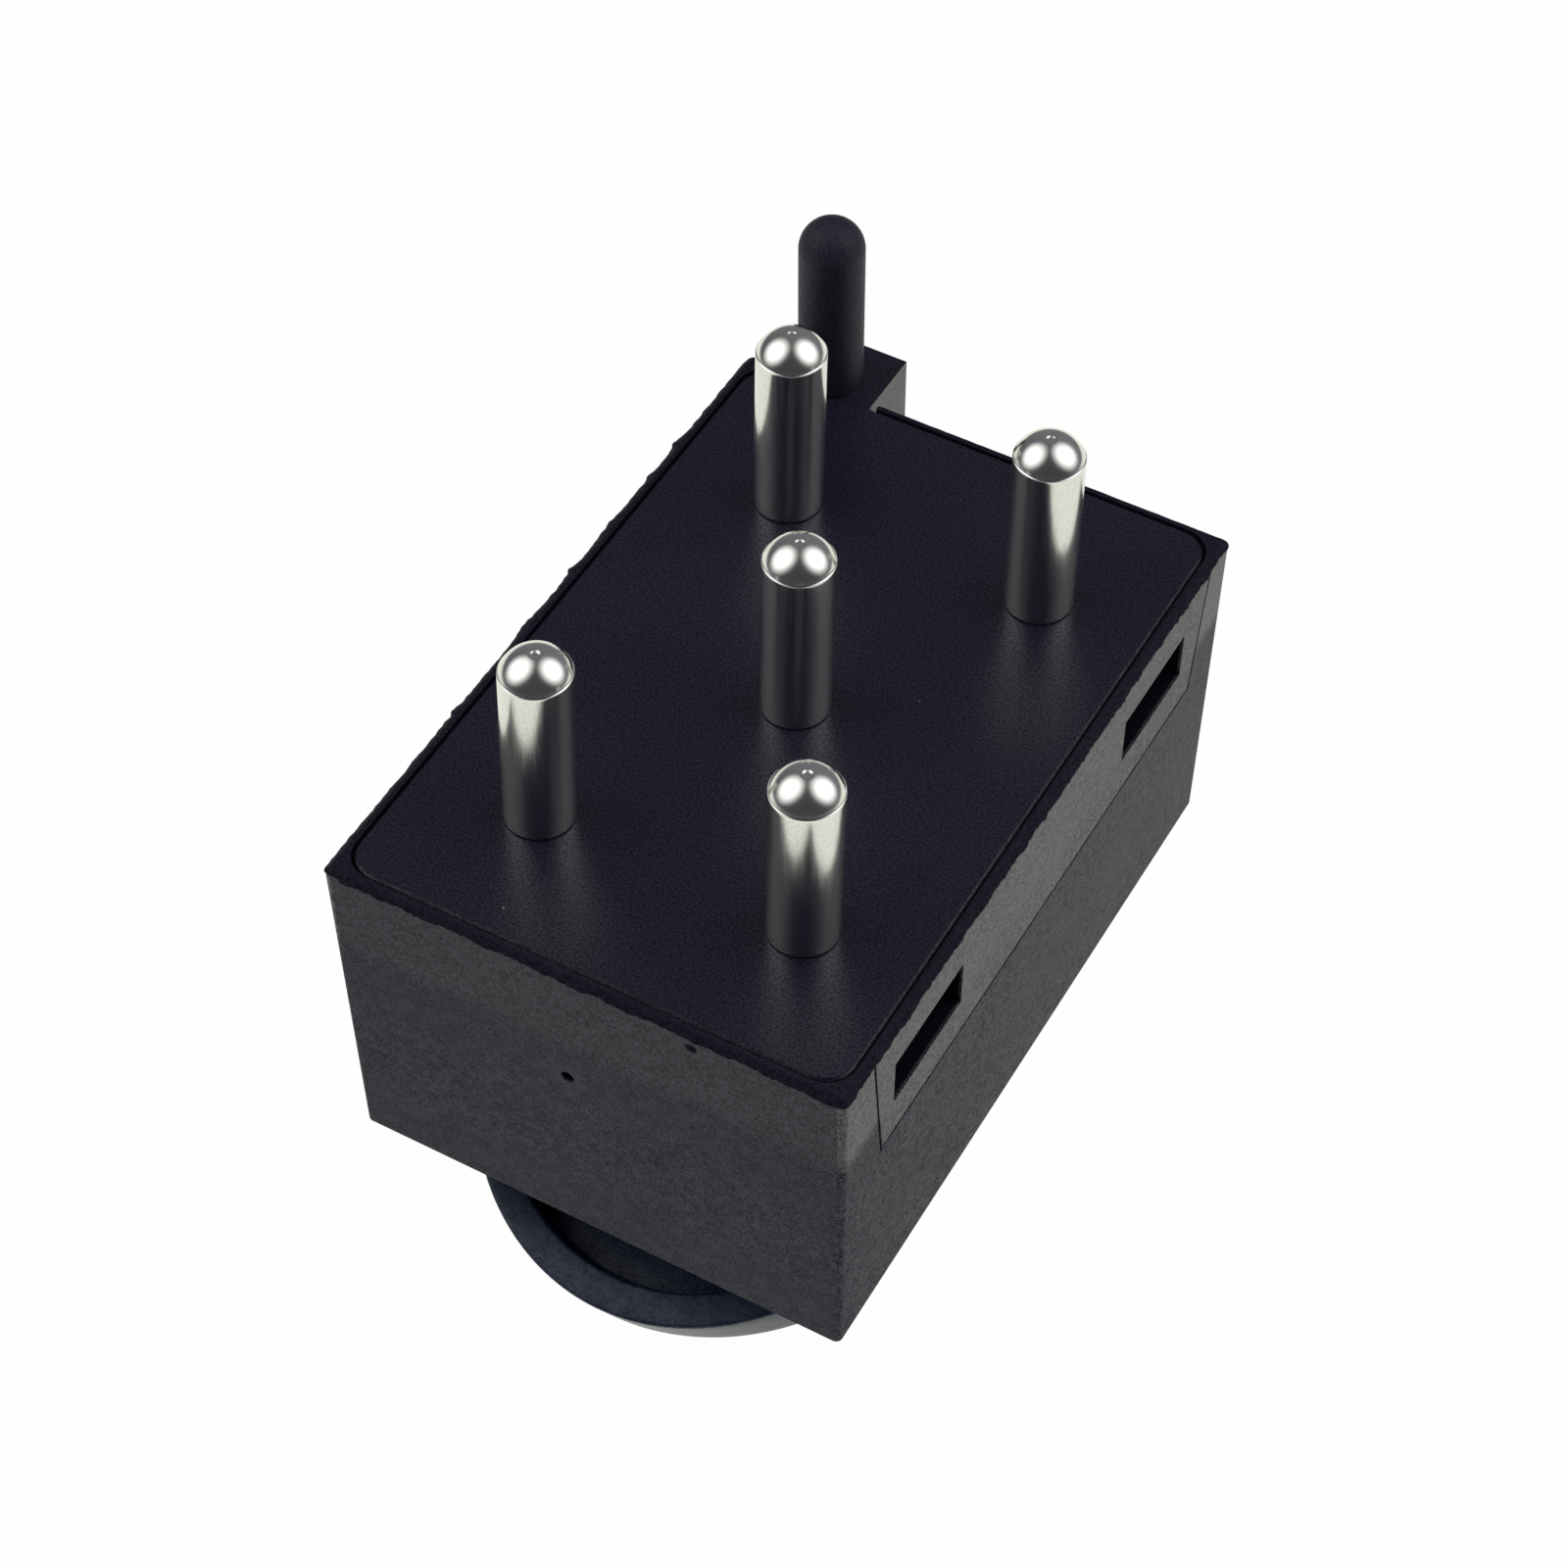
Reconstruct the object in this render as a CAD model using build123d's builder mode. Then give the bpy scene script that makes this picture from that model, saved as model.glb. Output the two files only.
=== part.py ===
"""Rocker switch for a car's power windows, with five round terminal pins.

Millimetres, +Z up along the terminal pins.  The origin is the foot of the centre pin, on the
terminal face.  The rocker knob hangs below, on the user's side, and tilts about X.
"""
from build123d import *
import math
import os

os.makedirs("parts", exist_ok=True)

# Housing
case_width = 31.3           # along X
case_length = 45.2          # along Y
case_height = 22.65
case_x, case_y = -0.3, 0.35  # middle of the housing, seen from the centre pin
case_draft = 0.7            # degrees
case_corner = 0.4           # radius of the upright corners
case_wall = 1.6
front_wall = 2.0            # the wall that faces the user
rim_wall = 0.6              # lip that stands round the base plate
rim_chamfer = 0.35
post_side = 3.0             # corner posts that carry the guide frame
gate_mark_r, gate_mark_depth = 0.4, 0.3
gate_mark_x, gate_mark_z = -1.4, -8.9

# Windows and the outline of the mould's side core
window_length, window_height = 7.5, 3.3
window_y = 13.4             # from the middle of the housing, both ways
window_top = -3.0
core_half_top, core_half_bottom = 19.75, 18.6
core_shift = 0.25           # towards the ear
core_bottom = -9.1
core_line = 0.2             # width and depth of the line that the core left

# Base plate
plate_thickness = 2.2
plate_corner = 1.8
plate_gap = 0.12            # all round, inside the lip
plate_edge = 0.15
hook_width = 6.6
hook_thickness = 1.2
hook_reach = 1.0            # how far the nose stands into its window
hook_gap = 0.15             # between the hook and the wall or the window
hook_length = 4.4
hold_down_side = 2.3        # posts that press the guide frame down
hold_down_inset = 1.7       # from the housing's inner corner to the post's middle
ear_left, ear_right = -14.15, -7.5
ear_reach = 3.8             # beyond the housing's end
ear_depth = 7.0
ear_gap = 0.15
ear_notch_gap = 0.35
peg_r = 1.93
peg_height, peg_dome = 11.8, 1.85
peg_x, peg_inset = -10.8, 3.3  # the inset is from the ear's far side

# Terminal pins
pin_r = 2.0
pin_height, pin_dome = 12.4, 1.45
pin_x, pin_y = 8.0, 13.4    # outer pins, from the centre pin
shank_side = 2.6            # the square shank that stops the pin from turning
shank_fit = 0.02
shank_proud = 0.3           # staked over beyond the contact strip

# Fixed contact strips
strip_thickness = 0.8
strip_width = 2.4
tab_side = 4.0              # square tab round the pin's shank
pad_width = 3.0
pad_gap = 0.4
motor_pad, ground_pad, supply_pad = 2.95, 2.95, 2.3  # lengths along Y
motor_shift = 0.625         # from the bridge's middle to the motor pad's middle
hook_to_lane = 0.3
lane_to_pad = 1.2           # from the outer lane to the pads
pad_to_lane = 1.0           # from the pads to the inner lane
lane_bend = 4.0             # where a strip has left its pin and runs along its lane

# Rocker
knob_x, knob_y = -0.3, -8.5
knob_r = 14.3
knob_flat = 12.4            # from the knob's middle to each of its two flat sides
knob_corner = 4.0           # radius between the round ends and the flat sides
knob_bend_r = 30.3          # radius that the back of the knob is bent to, about X
knob_drop = 3.45            # from the housing's front to the top of the bent back
knob_thickness = 4.0
knob_rim = 1.88
knob_skin = 1.8
boss_width, boss_length = 7.6, 5.4
boss_drop = 1.55            # from the housing's front to the boss
boss_corner = 1.0
hinge_height = 2.05         # above the inside of the front wall
tilt = 10.0                 # degrees each way
axle_r = 1.0
axle_fit = 0.05
axle_overhang = 3.3         # from the hub's end to the axle's end
hub_r, hub_length = 2.0, 7.0
lever_fit = 0.02
arm_reach, arm_width = 7.4, 4.0
arm_top, arm_bottom = 1.7, -0.3  # from the hinge
stem_width, stem_length = 5.0, 3.6
stem_seat = 1.4             # from the bent back's top down to the end of the stem
stem_fit = 0.05
finger_width = 4.0
finger_foot, finger_neck = 1.3, 0.7  # half thicknesses
finger_ball_r = 1.5
opening_gap = 0.4
cradle_gap, cradle_length = 0.8, 2.6
cradle_above = 1.6
cradle_side = 2.3

# Return plungers and springs
plunger_offset = 6.0
plunger_r, plunger_length = 2.0, 4.35
plunger_nose, plunger_nose_r = 0.8, 0.5  # length of the conical nose and radius of its tip
plunger_cup_r, plunger_floor = 1.55, 1.8  # the floor from the nose's tip
plunger_fit = 0.1
nose_gap = 0.15
socket_wall = 0.8
socket_roof = 0.6
socket_depth = 5.2
return_coil_r, return_wire_r = 1.2, 0.22
return_turns = 4.5
coil_runs = 8               # straight runs of wire that stand for one turn

# Guide frame
frame_height = 7.6          # from the hinge to the frame's inner face
frame_thickness = 1.2
frame_gap = 0.15
rail_height, rail_width = 2.8, 1.2
rail_over = 2.3             # how far the rails reach past the carriage, front and back
leg_width, leg_thickness = 1.9, 2.0
leg_gap = 0.1
slot_gap = 0.3

# Contact carriage
carriage_edge = 0.9         # beside the towers
carriage_front, carriage_back = -10.9, -1.9
carriage_gap = 0.15
carriage_drop = 1.4         # from the fixed strips to the carriage's back
ball_drop = 2.6             # from the carriage's back to the finger's ball
ball_fit = 0.1
bridge_y = -5.2
bridge_length, bridge_width, bridge_thickness = 4.6, 2.6, 0.5
bridge_fit = 0.1
tower_wall = 0.6
tower_gap = 0.3
contact_pitch = 3.0
contact_r, contact_height = 0.9, 0.5
wipe_gap = 0.1
pocket_r, pocket_floor = 1.25, 1.95  # the floor's thickness
contact_coil_r, contact_wire_r = 0.95, 0.18
contact_turns = 3.5

# Heights that follow from the sizes above
plate_under = -plate_thickness
strip_under = plate_under - strip_thickness
floor_z = front_wall - case_height
hinge_z = floor_z + hinge_height
arm_z = hinge_z + arm_top
nose_z = arm_z + nose_gap
frame_under = hinge_z + frame_height
frame_top = frame_under + frame_thickness
spring_top = frame_top - socket_roof
spring_foot = nose_z + plunger_floor
carriage_under = frame_top + carriage_gap
carriage_top = strip_under - carriage_drop
ball_z = carriage_top - ball_drop
bridge_top = strip_under - wipe_gap - contact_height
bridge_under = bridge_top - bridge_thickness
tower_top = strip_under - tower_gap
knob_back = -case_height - knob_drop
boss_top = -case_height - boss_drop
stem_end = knob_back - stem_seat

# Places that follow from the sizes above
inner_width = case_width - 2 * case_wall
inner_length = case_length - 2 * case_wall
side_x = case_width / 2
end_y = case_length / 2
swing = math.radians(tilt)
hook_face = inner_width / 2 - hook_gap          # outer face of a hook's leg
outer_lane = case_x + hook_face - hook_thickness - hook_to_lane - strip_width / 2
bridge_x = outer_lane - strip_width / 2 - lane_to_pad - pad_width / 2
inner_lane = bridge_x - pad_width / 2 - pad_to_lane - strip_width / 2
socket_bore_r = plunger_r + plunger_fit
socket_r = socket_bore_r + socket_wall
hub_half = hub_length / 2
cradle_in = hub_half + cradle_gap
tower_width = bridge_width + 2 * (bridge_fit + tower_wall)
tower_length = bridge_length + 2 * (bridge_fit + tower_wall)
carriage_half_width = bridge_x + tower_width / 2 + carriage_edge
pins = {
    "centre": (0, 0),
    "front_left": (-pin_x, -pin_y),
    "front_right": (pin_x, -pin_y),
    "rear_left": (-pin_x, pin_y),
    "rear_right": (pin_x, pin_y),
}
plungers = {"front": (knob_x, knob_y - plunger_offset), "rear": (knob_x, knob_y + plunger_offset)}
bridges = {"left": -bridge_x, "right": bridge_x}


def keep(solid, name):
    """Label a finished piece and write its STEP file."""
    solid.label = name
    export_step(solid, f"parts/{name}.step")


def ball_radius(radius, height):
    """Radius of the ball that a dome of this foot radius and height is cut from."""
    return (radius ** 2 + height ** 2) / (2 * height)


def coil(name, x, y, foot, top, coil_r, wire_r, turns):
    """Compression spring along Z, from foot to top: short straight runs of square wire."""
    count = round(turns * coil_runs)
    rise = (top - foot - 2 * wire_r) / count
    turn = 2 * math.pi / coil_runs
    with BuildPart() as spring:
        with BuildLine(Plane((x, y, foot + wire_r))):
            path = Polyline(*[(coil_r * math.cos(i * turn), coil_r * math.sin(i * turn), i * rise)
                              for i in range(count + 1)])
        with BuildSketch(Plane(origin=path @ 0, z_dir=path % 0)):
            RegularPolygon(wire_r, 4)
        sweep(path=path, transition=Transition.RIGHT)
    keep(spring.part, name)


# Housing: an open-backed box, drawn in towards the user's side
with BuildPart() as housing:
    with BuildSketch(Plane((case_x, case_y, 0))):
        Rectangle(case_width, case_length)
    extrude(amount=-case_height)
    draft(housing.faces().filter_by(Axis.Z, reverse=True), Plane.XY, -case_draft)
    back = housing.faces().sort_by(Axis.Z)[-1]
    front = housing.faces().sort_by(Axis.Z)[0]
    fillet(housing.edges() - back.edges() - front.edges(), case_corner)
    chamfer(housing.faces().sort_by(Axis.Z)[-1].edges(), rim_chamfer)
    with BuildSketch(Plane((case_x, case_y, floor_z))):
        Rectangle(inner_width, inner_length)
    extrude(amount=-floor_z, mode=Mode.SUBTRACT)
    # seat for the base plate, inside the lip
    with BuildSketch(Plane((case_x, case_y, plate_under))):
        RectangleRounded(case_width - 2 * rim_wall, case_length - 2 * rim_wall, plate_corner)
    extrude(amount=plate_thickness, mode=Mode.SUBTRACT)
    # corner posts that carry the guide frame
    with BuildSketch(Plane((case_x, case_y, floor_z))):
        with GridLocations(inner_width - post_side, inner_length - post_side, 2, 2):
            Rectangle(post_side, post_side)
    extrude(amount=frame_under - floor_z)
    # cradles for the axle, open towards the guide frame
    for side in (-1, 1):
        with BuildSketch(Plane((knob_x + side * cradle_in, knob_y, hinge_z), x_dir=(0, side, 0),
                               z_dir=(side, 0, 0))):
            with Locations((0, (cradle_above - hinge_height) / 2)):
                Rectangle(2 * cradle_side, hinge_height + cradle_above)
            Circle(axle_r + axle_fit, mode=Mode.SUBTRACT)
            with Locations((0, cradle_above / 2)):
                Rectangle(2 * (axle_r + axle_fit), cradle_above, mode=Mode.SUBTRACT)
        extrude(amount=cradle_length)
    # opening for the lever's stem
    opening_y = stem_length / 2 + (hinge_height + front_wall) * math.tan(swing) + opening_gap
    with BuildSketch(Plane((knob_x, knob_y, floor_z))):
        Rectangle(hub_length + 2 * opening_gap, 2 * opening_y)
    extrude(amount=-front_wall, mode=Mode.SUBTRACT)
    # notch in the lip where the base plate's ear goes out
    notch_left, notch_right = ear_left - ear_gap, ear_right + ear_notch_gap
    with BuildSketch(Plane(((notch_left + notch_right) / 2, case_y + end_y, plate_under - ear_gap))):
        Rectangle(notch_right - notch_left, 4 * case_wall)
    extrude(amount=plate_thickness + ear_gap, mode=Mode.SUBTRACT)
    # windows for the hooks
    with BuildSketch(Plane((case_x, case_y, window_top - window_height / 2), x_dir=(0, 1, 0),
                           z_dir=(1, 0, 0))):
        with Locations((-window_y, 0), (window_y, 0)):
            Rectangle(window_length, window_height)
    extrude(amount=side_x, both=True, mode=Mode.SUBTRACT)
    # line left by the mould's side core, on both long sides
    for side in (-1, 1):
        with BuildSketch(Plane((case_x + side * side_x, case_y + core_shift, 0),
                               x_dir=(0, side, 0), z_dir=(side, 0, 0))):
            with BuildLine():
                Polyline((-core_half_top, -rim_chamfer), (-core_half_bottom, core_bottom),
                         (core_half_bottom, core_bottom), (core_half_top, -rim_chamfer))
            trace(line_width=core_line)
        extrude(amount=-core_line, mode=Mode.SUBTRACT)
    # gate mark on the front end
    with Locations(Location((gate_mark_x, case_y - end_y, gate_mark_z), (90, 0, 0))):
        Hole(gate_mark_r, depth=2 * gate_mark_depth)
keep(housing.part, "housing")

# Base plate: sits inside the lip, snaps in with four hooks and carries the ear with its peg
plate_width = case_width - 2 * (rim_wall + plate_gap)
plate_length = case_length - 2 * (rim_wall + plate_gap)
ear_middle = (ear_left + ear_right) / 2
ear_near = case_y + end_y + ear_gap
ear_far = case_y + end_y + ear_reach
peg_y = ear_far - peg_inset
nose_top = window_top - hook_gap
with BuildPart() as base_plate:
    with BuildSketch(Plane((case_x, case_y, plate_under))):
        RectangleRounded(plate_width, plate_length, plate_corner)
    extrude(amount=plate_thickness)
    chamfer(base_plate.faces().sort_by(Axis.Z)[-1].edges(), plate_edge)
    # bridge over the housing's end wall
    bridge_near = case_y + plate_length / 2 - plate_corner
    with BuildSketch(Plane((ear_middle, (bridge_near + ear_far) / 2, 0))):
        Rectangle(ear_right - ear_left, ear_far - bridge_near)
    extrude(amount=-plate_thickness)
    # ear outside the end wall
    with BuildSketch(Plane((ear_middle, (ear_near + ear_far) / 2, 0))):
        Rectangle(ear_right - ear_left, ear_far - ear_near)
    extrude(amount=-ear_depth)
    # guide peg with a domed end
    with BuildSketch(Plane((peg_x, peg_y, 0), x_dir=(1, 0, 0), z_dir=(0, -1, 0))):
        with BuildLine():
            Polyline((0, peg_height), (0, 0), (peg_r, 0), (peg_r, peg_height - peg_dome))
            RadiusArc((peg_r, peg_height - peg_dome), (0, peg_height), -ball_radius(peg_r, peg_dome))
        make_face()
    revolve(axis=Axis((peg_x, peg_y, 0), (0, 0, 1)))
    # hooks, one behind each window
    for side in (-1, 1):
        leg = (case_x + side * (hook_face - hook_thickness), case_x + side * hook_face)
        nose = leg[1] + side * (hook_gap + hook_reach)
        for end in (-1, 1):
            with BuildSketch(Plane((0, case_y + end * window_y, 0), x_dir=(1, 0, 0),
                                   z_dir=(0, -1, 0))):
                with BuildLine():
                    Polyline((leg[0], plate_under), (leg[1], plate_under), (leg[1], nose_top),
                             (nose, nose_top), (nose, nose_top - hook_reach / 2),
                             (leg[1], plate_under - hook_length),
                             (leg[0], plate_under - hook_length), close=True)
                make_face()
            extrude(amount=hook_width / 2, both=True)
    # posts that press the guide frame down
    with BuildSketch(Plane((case_x, case_y, plate_under))):
        with GridLocations(inner_width - 2 * hold_down_inset, inner_length - 2 * hold_down_inset,
                           2, 2):
            Rectangle(hold_down_side, hold_down_side)
    extrude(amount=frame_top - plate_under)
    # holes for the pins' shanks
    with BuildSketch(Plane.XY):
        with Locations(*pins.values()):
            Rectangle(shank_side + 2 * shank_fit, shank_side + 2 * shank_fit)
    extrude(amount=-plate_thickness, mode=Mode.SUBTRACT)
keep(base_plate.part, "base_plate")

# Terminal pins: turned with a domed tip, shouldered on the plate, on a square shank
with BuildPart() as terminal_pin:
    with BuildSketch(Plane.XZ):
        with BuildLine():
            Polyline((0, pin_height), (0, 0), (pin_r, 0), (pin_r, pin_height - pin_dome))
            RadiusArc((pin_r, pin_height - pin_dome), (0, pin_height), -ball_radius(pin_r, pin_dome))
        make_face()
    revolve(axis=Axis.Z)
    with BuildSketch(Plane.XY):
        Rectangle(shank_side, shank_side)
    extrude(amount=strip_under - shank_proud)
for place, (x, y) in pins.items():
    keep(terminal_pin.part.moved(Location((x, y, 0))), f"terminal_pin_{place}")


def strip(name, pin, runs):
    """Flat stamping on the plate's inner face: a tab on its pin, then runs that end in pads."""
    with BuildPart() as piece:
        with BuildSketch(Plane.XY.offset(plate_under)):
            with Locations(pins[pin]):
                Rectangle(tab_side, tab_side)
            for points, pad in runs:
                with BuildLine():
                    Polyline(pins[pin], *points)
                trace(line_width=strip_width)
                with Locations(points[-1]):
                    Rectangle(pad_width, pad)
            with Locations(pins[pin]):
                Rectangle(shank_side + 2 * shank_fit, shank_side + 2 * shank_fit,
                          mode=Mode.SUBTRACT)
        extrude(amount=-strip_thickness)
    keep(piece.part, name)


# Each bridge wipes from its motor pad to the supply on one side and to ground on the other
motor_right, motor_left = bridge_y - motor_shift, bridge_y + motor_shift
to_supply = motor_pad / 2 + pad_gap + supply_pad / 2
to_ground = motor_pad / 2 + pad_gap + ground_pad / 2
supply_right, supply_left = motor_right - to_supply, motor_left + to_supply
ground_right, ground_left = motor_right + to_ground, motor_left - to_ground
strip("supply_strip", "centre", [
    ([(inner_lane, -inner_lane), (inner_lane, supply_right), (bridge_x, supply_right)], supply_pad),
    ([(-inner_lane, supply_left), (-bridge_x, supply_left)], supply_pad)])
strip("motor_strip_right", "front_right", [
    ([(outer_lane, lane_bend / 4 - pin_y), (outer_lane, motor_right), (bridge_x, motor_right)],
     motor_pad)])
strip("motor_strip_left", "front_left", [
    ([(-inner_lane, lane_bend / 2 - pin_y), (-inner_lane, motor_left), (-bridge_x, motor_left)],
     motor_pad)])
strip("ground_strip_right", "rear_right", [
    ([(pin_x, lane_bend), (bridge_x, lane_bend / 2), (bridge_x, ground_right)], ground_pad)])
strip("ground_strip_left", "rear_left", [
    ([(-outer_lane, pin_y - lane_bend), (-outer_lane, ground_left), (-bridge_x, ground_left)],
     ground_pad)])

# Rocker knob: a round cap with two flat sides, bent about X, hollow behind, with a socket for
# the lever's stem
bend_z = knob_back - knob_bend_r


def bent_cap(inset, thickness):
    """Round cap with flat sides, bent about X, down from the knob's back, its wall square to the
    bent face and an inset inside the knob's outline."""
    with BuildPart() as blank:
        with BuildSketch(Plane((knob_x, knob_y, bend_z))) as outline:
            Circle(knob_r - inset)
            Rectangle(2 * (knob_flat - inset), 2 * knob_r, mode=Mode.INTERSECT)
            fillet(outline.vertices(), knob_corner)
        extrude(amount=2 * knob_bend_r)
        with BuildSketch(Plane((knob_x, knob_y, bend_z), x_dir=(0, 1, 0), z_dir=(1, 0, 0))):
            Circle(knob_bend_r)
        extrude(amount=2 * knob_r, both=True, mode=Mode.INTERSECT)
    back = blank.faces().filter_by(GeomType.CYLINDER).sort_by(Axis.Z)[-1]
    return thicken(back, amount=-thickness, mode=Mode.PRIVATE)


with BuildPart() as rocker_knob:
    add(bent_cap(0, knob_thickness))
    add(bent_cap(knob_rim, knob_thickness - knob_skin), mode=Mode.SUBTRACT)
    # socket boss
    with BuildSketch(Plane((knob_x, knob_y, boss_top))):
        RectangleRounded(boss_width, boss_length, boss_corner)
    extrude(until=Until.NEXT, dir=(0, 0, -1))
    with BuildSketch(Plane((knob_x, knob_y, boss_top))):
        Rectangle(stem_width + 2 * stem_fit, stem_length + 2 * stem_fit)
    extrude(amount=stem_end - stem_fit - boss_top, mode=Mode.SUBTRACT)
keep(rocker_knob.part, "rocker_knob")

# Rocker lever: hub on the axle, stem to the knob, two arms under the plungers and a finger
side_view = Plane((knob_x, knob_y, hinge_z), x_dir=(0, 1, 0), z_dir=(1, 0, 0))
finger_reach = ball_z - hinge_z
with BuildPart() as rocker_lever:
    with BuildSketch(side_view):
        Circle(hub_r)
    extrude(amount=hub_half, both=True)
    with BuildSketch(side_view):
        with Locations((0, (arm_top + arm_bottom) / 2)):
            Rectangle(2 * arm_reach, arm_top - arm_bottom)
    extrude(amount=arm_width / 2, both=True)
    with BuildSketch(side_view):
        with BuildLine():
            Polyline((-finger_foot, 0), (-finger_neck, finger_reach), (finger_neck, finger_reach),
                     (finger_foot, 0), close=True)
        make_face()
        with Locations((0, finger_reach)):
            Circle(finger_ball_r)
    extrude(amount=finger_width / 2, both=True)
    with BuildSketch(Plane((knob_x, knob_y, hinge_z))):
        Rectangle(stem_width, stem_length)
    extrude(amount=stem_end - hinge_z)
    with BuildSketch(side_view):
        Circle(axle_r + lever_fit)
    extrude(amount=hub_half, both=True, mode=Mode.SUBTRACT)
keep(rocker_lever.part, "rocker_lever")

with BuildPart() as rocker_axle:
    with BuildSketch(side_view):
        Circle(axle_r)
    extrude(amount=hub_half + axle_overhang, both=True)
keep(rocker_axle.part, "rocker_axle")

# Guide frame: carries the carriage on its back, the plungers in two sockets, and holds the axle
with BuildPart() as guide_frame:
    with BuildSketch(Plane((case_x, case_y, frame_top))):
        Rectangle(inner_width - 2 * frame_gap, inner_length - 2 * frame_gap)
    extrude(amount=-frame_thickness)
    # sockets for the plungers
    with BuildSketch(Plane.XY.offset(frame_top)):
        with Locations(*plungers.values()):
            Circle(socket_r)
    extrude(amount=-socket_depth)
    with BuildSketch(Plane.XY.offset(spring_top)):
        with Locations(*plungers.values()):
            Circle(socket_bore_r)
    extrude(amount=socket_roof - socket_depth, mode=Mode.SUBTRACT)
    # slot that the finger swings in
    slot_y = finger_foot + (frame_top - hinge_z) * math.tan(swing)
    with BuildSketch(Plane((knob_x, knob_y, frame_top))):
        Rectangle(finger_width + 2 * slot_gap, 2 * slot_y)
    extrude(amount=-frame_thickness, mode=Mode.SUBTRACT)
    # legs that hold the axle down in its cradles
    leg_x = cradle_in + cradle_length / 2
    with BuildSketch(Plane((knob_x, knob_y, frame_under))):
        with Locations((-leg_x, 0), (leg_x, 0)):
            Rectangle(leg_thickness, leg_width)
    extrude(amount=hinge_z + axle_r + leg_gap - frame_under)
    # rails beside the carriage
    rail_x = carriage_half_width + carriage_gap + rail_width / 2
    with BuildSketch(Plane((0, (carriage_front + carriage_back) / 2, frame_top))):
        with Locations((-rail_x, 0), (rail_x, 0)):
            Rectangle(rail_width, carriage_back - carriage_front + 2 * rail_over)
    extrude(amount=rail_height)
keep(guide_frame.part, "guide_frame")

# Return plungers: cups with a blunt conical nose on the lever's arm, each with its spring
for place, (x, y) in plungers.items():
    with BuildPart() as plunger:
        with BuildSketch(Plane((x, y, nose_z), x_dir=(1, 0, 0), z_dir=(0, -1, 0))):
            with BuildLine():
                Polyline((0, 0), (plunger_nose_r, 0), (plunger_r, plunger_nose),
                         (plunger_r, plunger_length), (plunger_cup_r, plunger_length),
                         (plunger_cup_r, plunger_floor), (0, plunger_floor), close=True)
            make_face()
        revolve(axis=Axis((x, y, nose_z), (0, 0, 1)))
    keep(plunger.part, f"return_plunger_{place}")
    coil(f"return_spring_{place}", x, y, spring_foot, spring_top, return_coil_r, return_wire_r,
         return_turns)

# Contact carriage: slides along Y on the guide frame, pushed by the lever's finger
towers = [(x, bridge_y) for x in bridges.values()]
with BuildPart() as contact_carriage:
    with BuildSketch(Plane((0, (carriage_front + carriage_back) / 2, carriage_under))):
        Rectangle(2 * carriage_half_width, carriage_back - carriage_front)
    extrude(amount=carriage_top - carriage_under)
    with BuildSketch(Plane.XY.offset(carriage_top)):
        with Locations(*towers):
            Rectangle(tower_width, tower_length)
    extrude(amount=tower_top - carriage_top)
    with BuildSketch(Plane.XY.offset(bridge_under)):
        with Locations(*towers):
            Rectangle(bridge_width + 2 * bridge_fit, bridge_length + 2 * bridge_fit)
    extrude(amount=tower_top - bridge_under, mode=Mode.SUBTRACT)
    with BuildSketch(Plane.XY.offset(carriage_under + pocket_floor)):
        with Locations(*towers):
            Circle(pocket_r)
    extrude(amount=bridge_under - carriage_under - pocket_floor, mode=Mode.SUBTRACT)
    # cross slot for the finger
    with BuildSketch(Plane((knob_x, knob_y, carriage_under))):
        Rectangle(finger_width + 2 * slot_gap, 2 * (finger_ball_r + ball_fit))
    extrude(amount=carriage_top - carriage_under, mode=Mode.SUBTRACT)
keep(contact_carriage.part, "contact_carriage")

# Moving contacts: a bridge, two brazed points and a spring on each side
for place, x in bridges.items():
    with BuildPart() as bridge:
        with BuildSketch(Plane((x, bridge_y, bridge_under))):
            Rectangle(bridge_width, bridge_length)
        extrude(amount=bridge_thickness)
    keep(bridge.part, f"contact_bridge_{place}")
    with BuildPart() as contact_points:
        with BuildSketch(Plane((x, bridge_y, bridge_top))):
            with Locations((0, -contact_pitch / 2), (0, contact_pitch / 2)):
                Circle(contact_r)
        extrude(amount=contact_height)
    keep(contact_points.part, f"contact_points_{place}")
    coil(f"contact_spring_{place}", x, bridge_y, carriage_under + pocket_floor, bridge_under,
         contact_coil_r, contact_wire_r, contact_turns)
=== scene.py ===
"""Looks of a rocker switch for a car's power windows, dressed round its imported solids.

The file is laid out as a Blender add-on and is run as a script.  Everything is in metres, in the
solids' own frame: the foot of the centre pin is the origin, the pins point up and the knob hangs
below.  Sizes that are worked out in millimetres are multiplied by MM where they enter a mesh.
"""
import math

import bpy
import numpy as np
from bpy.props import FloatProperty, FloatVectorProperty, IntProperty, PointerProperty
from mathutils import Matrix, Vector


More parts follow.
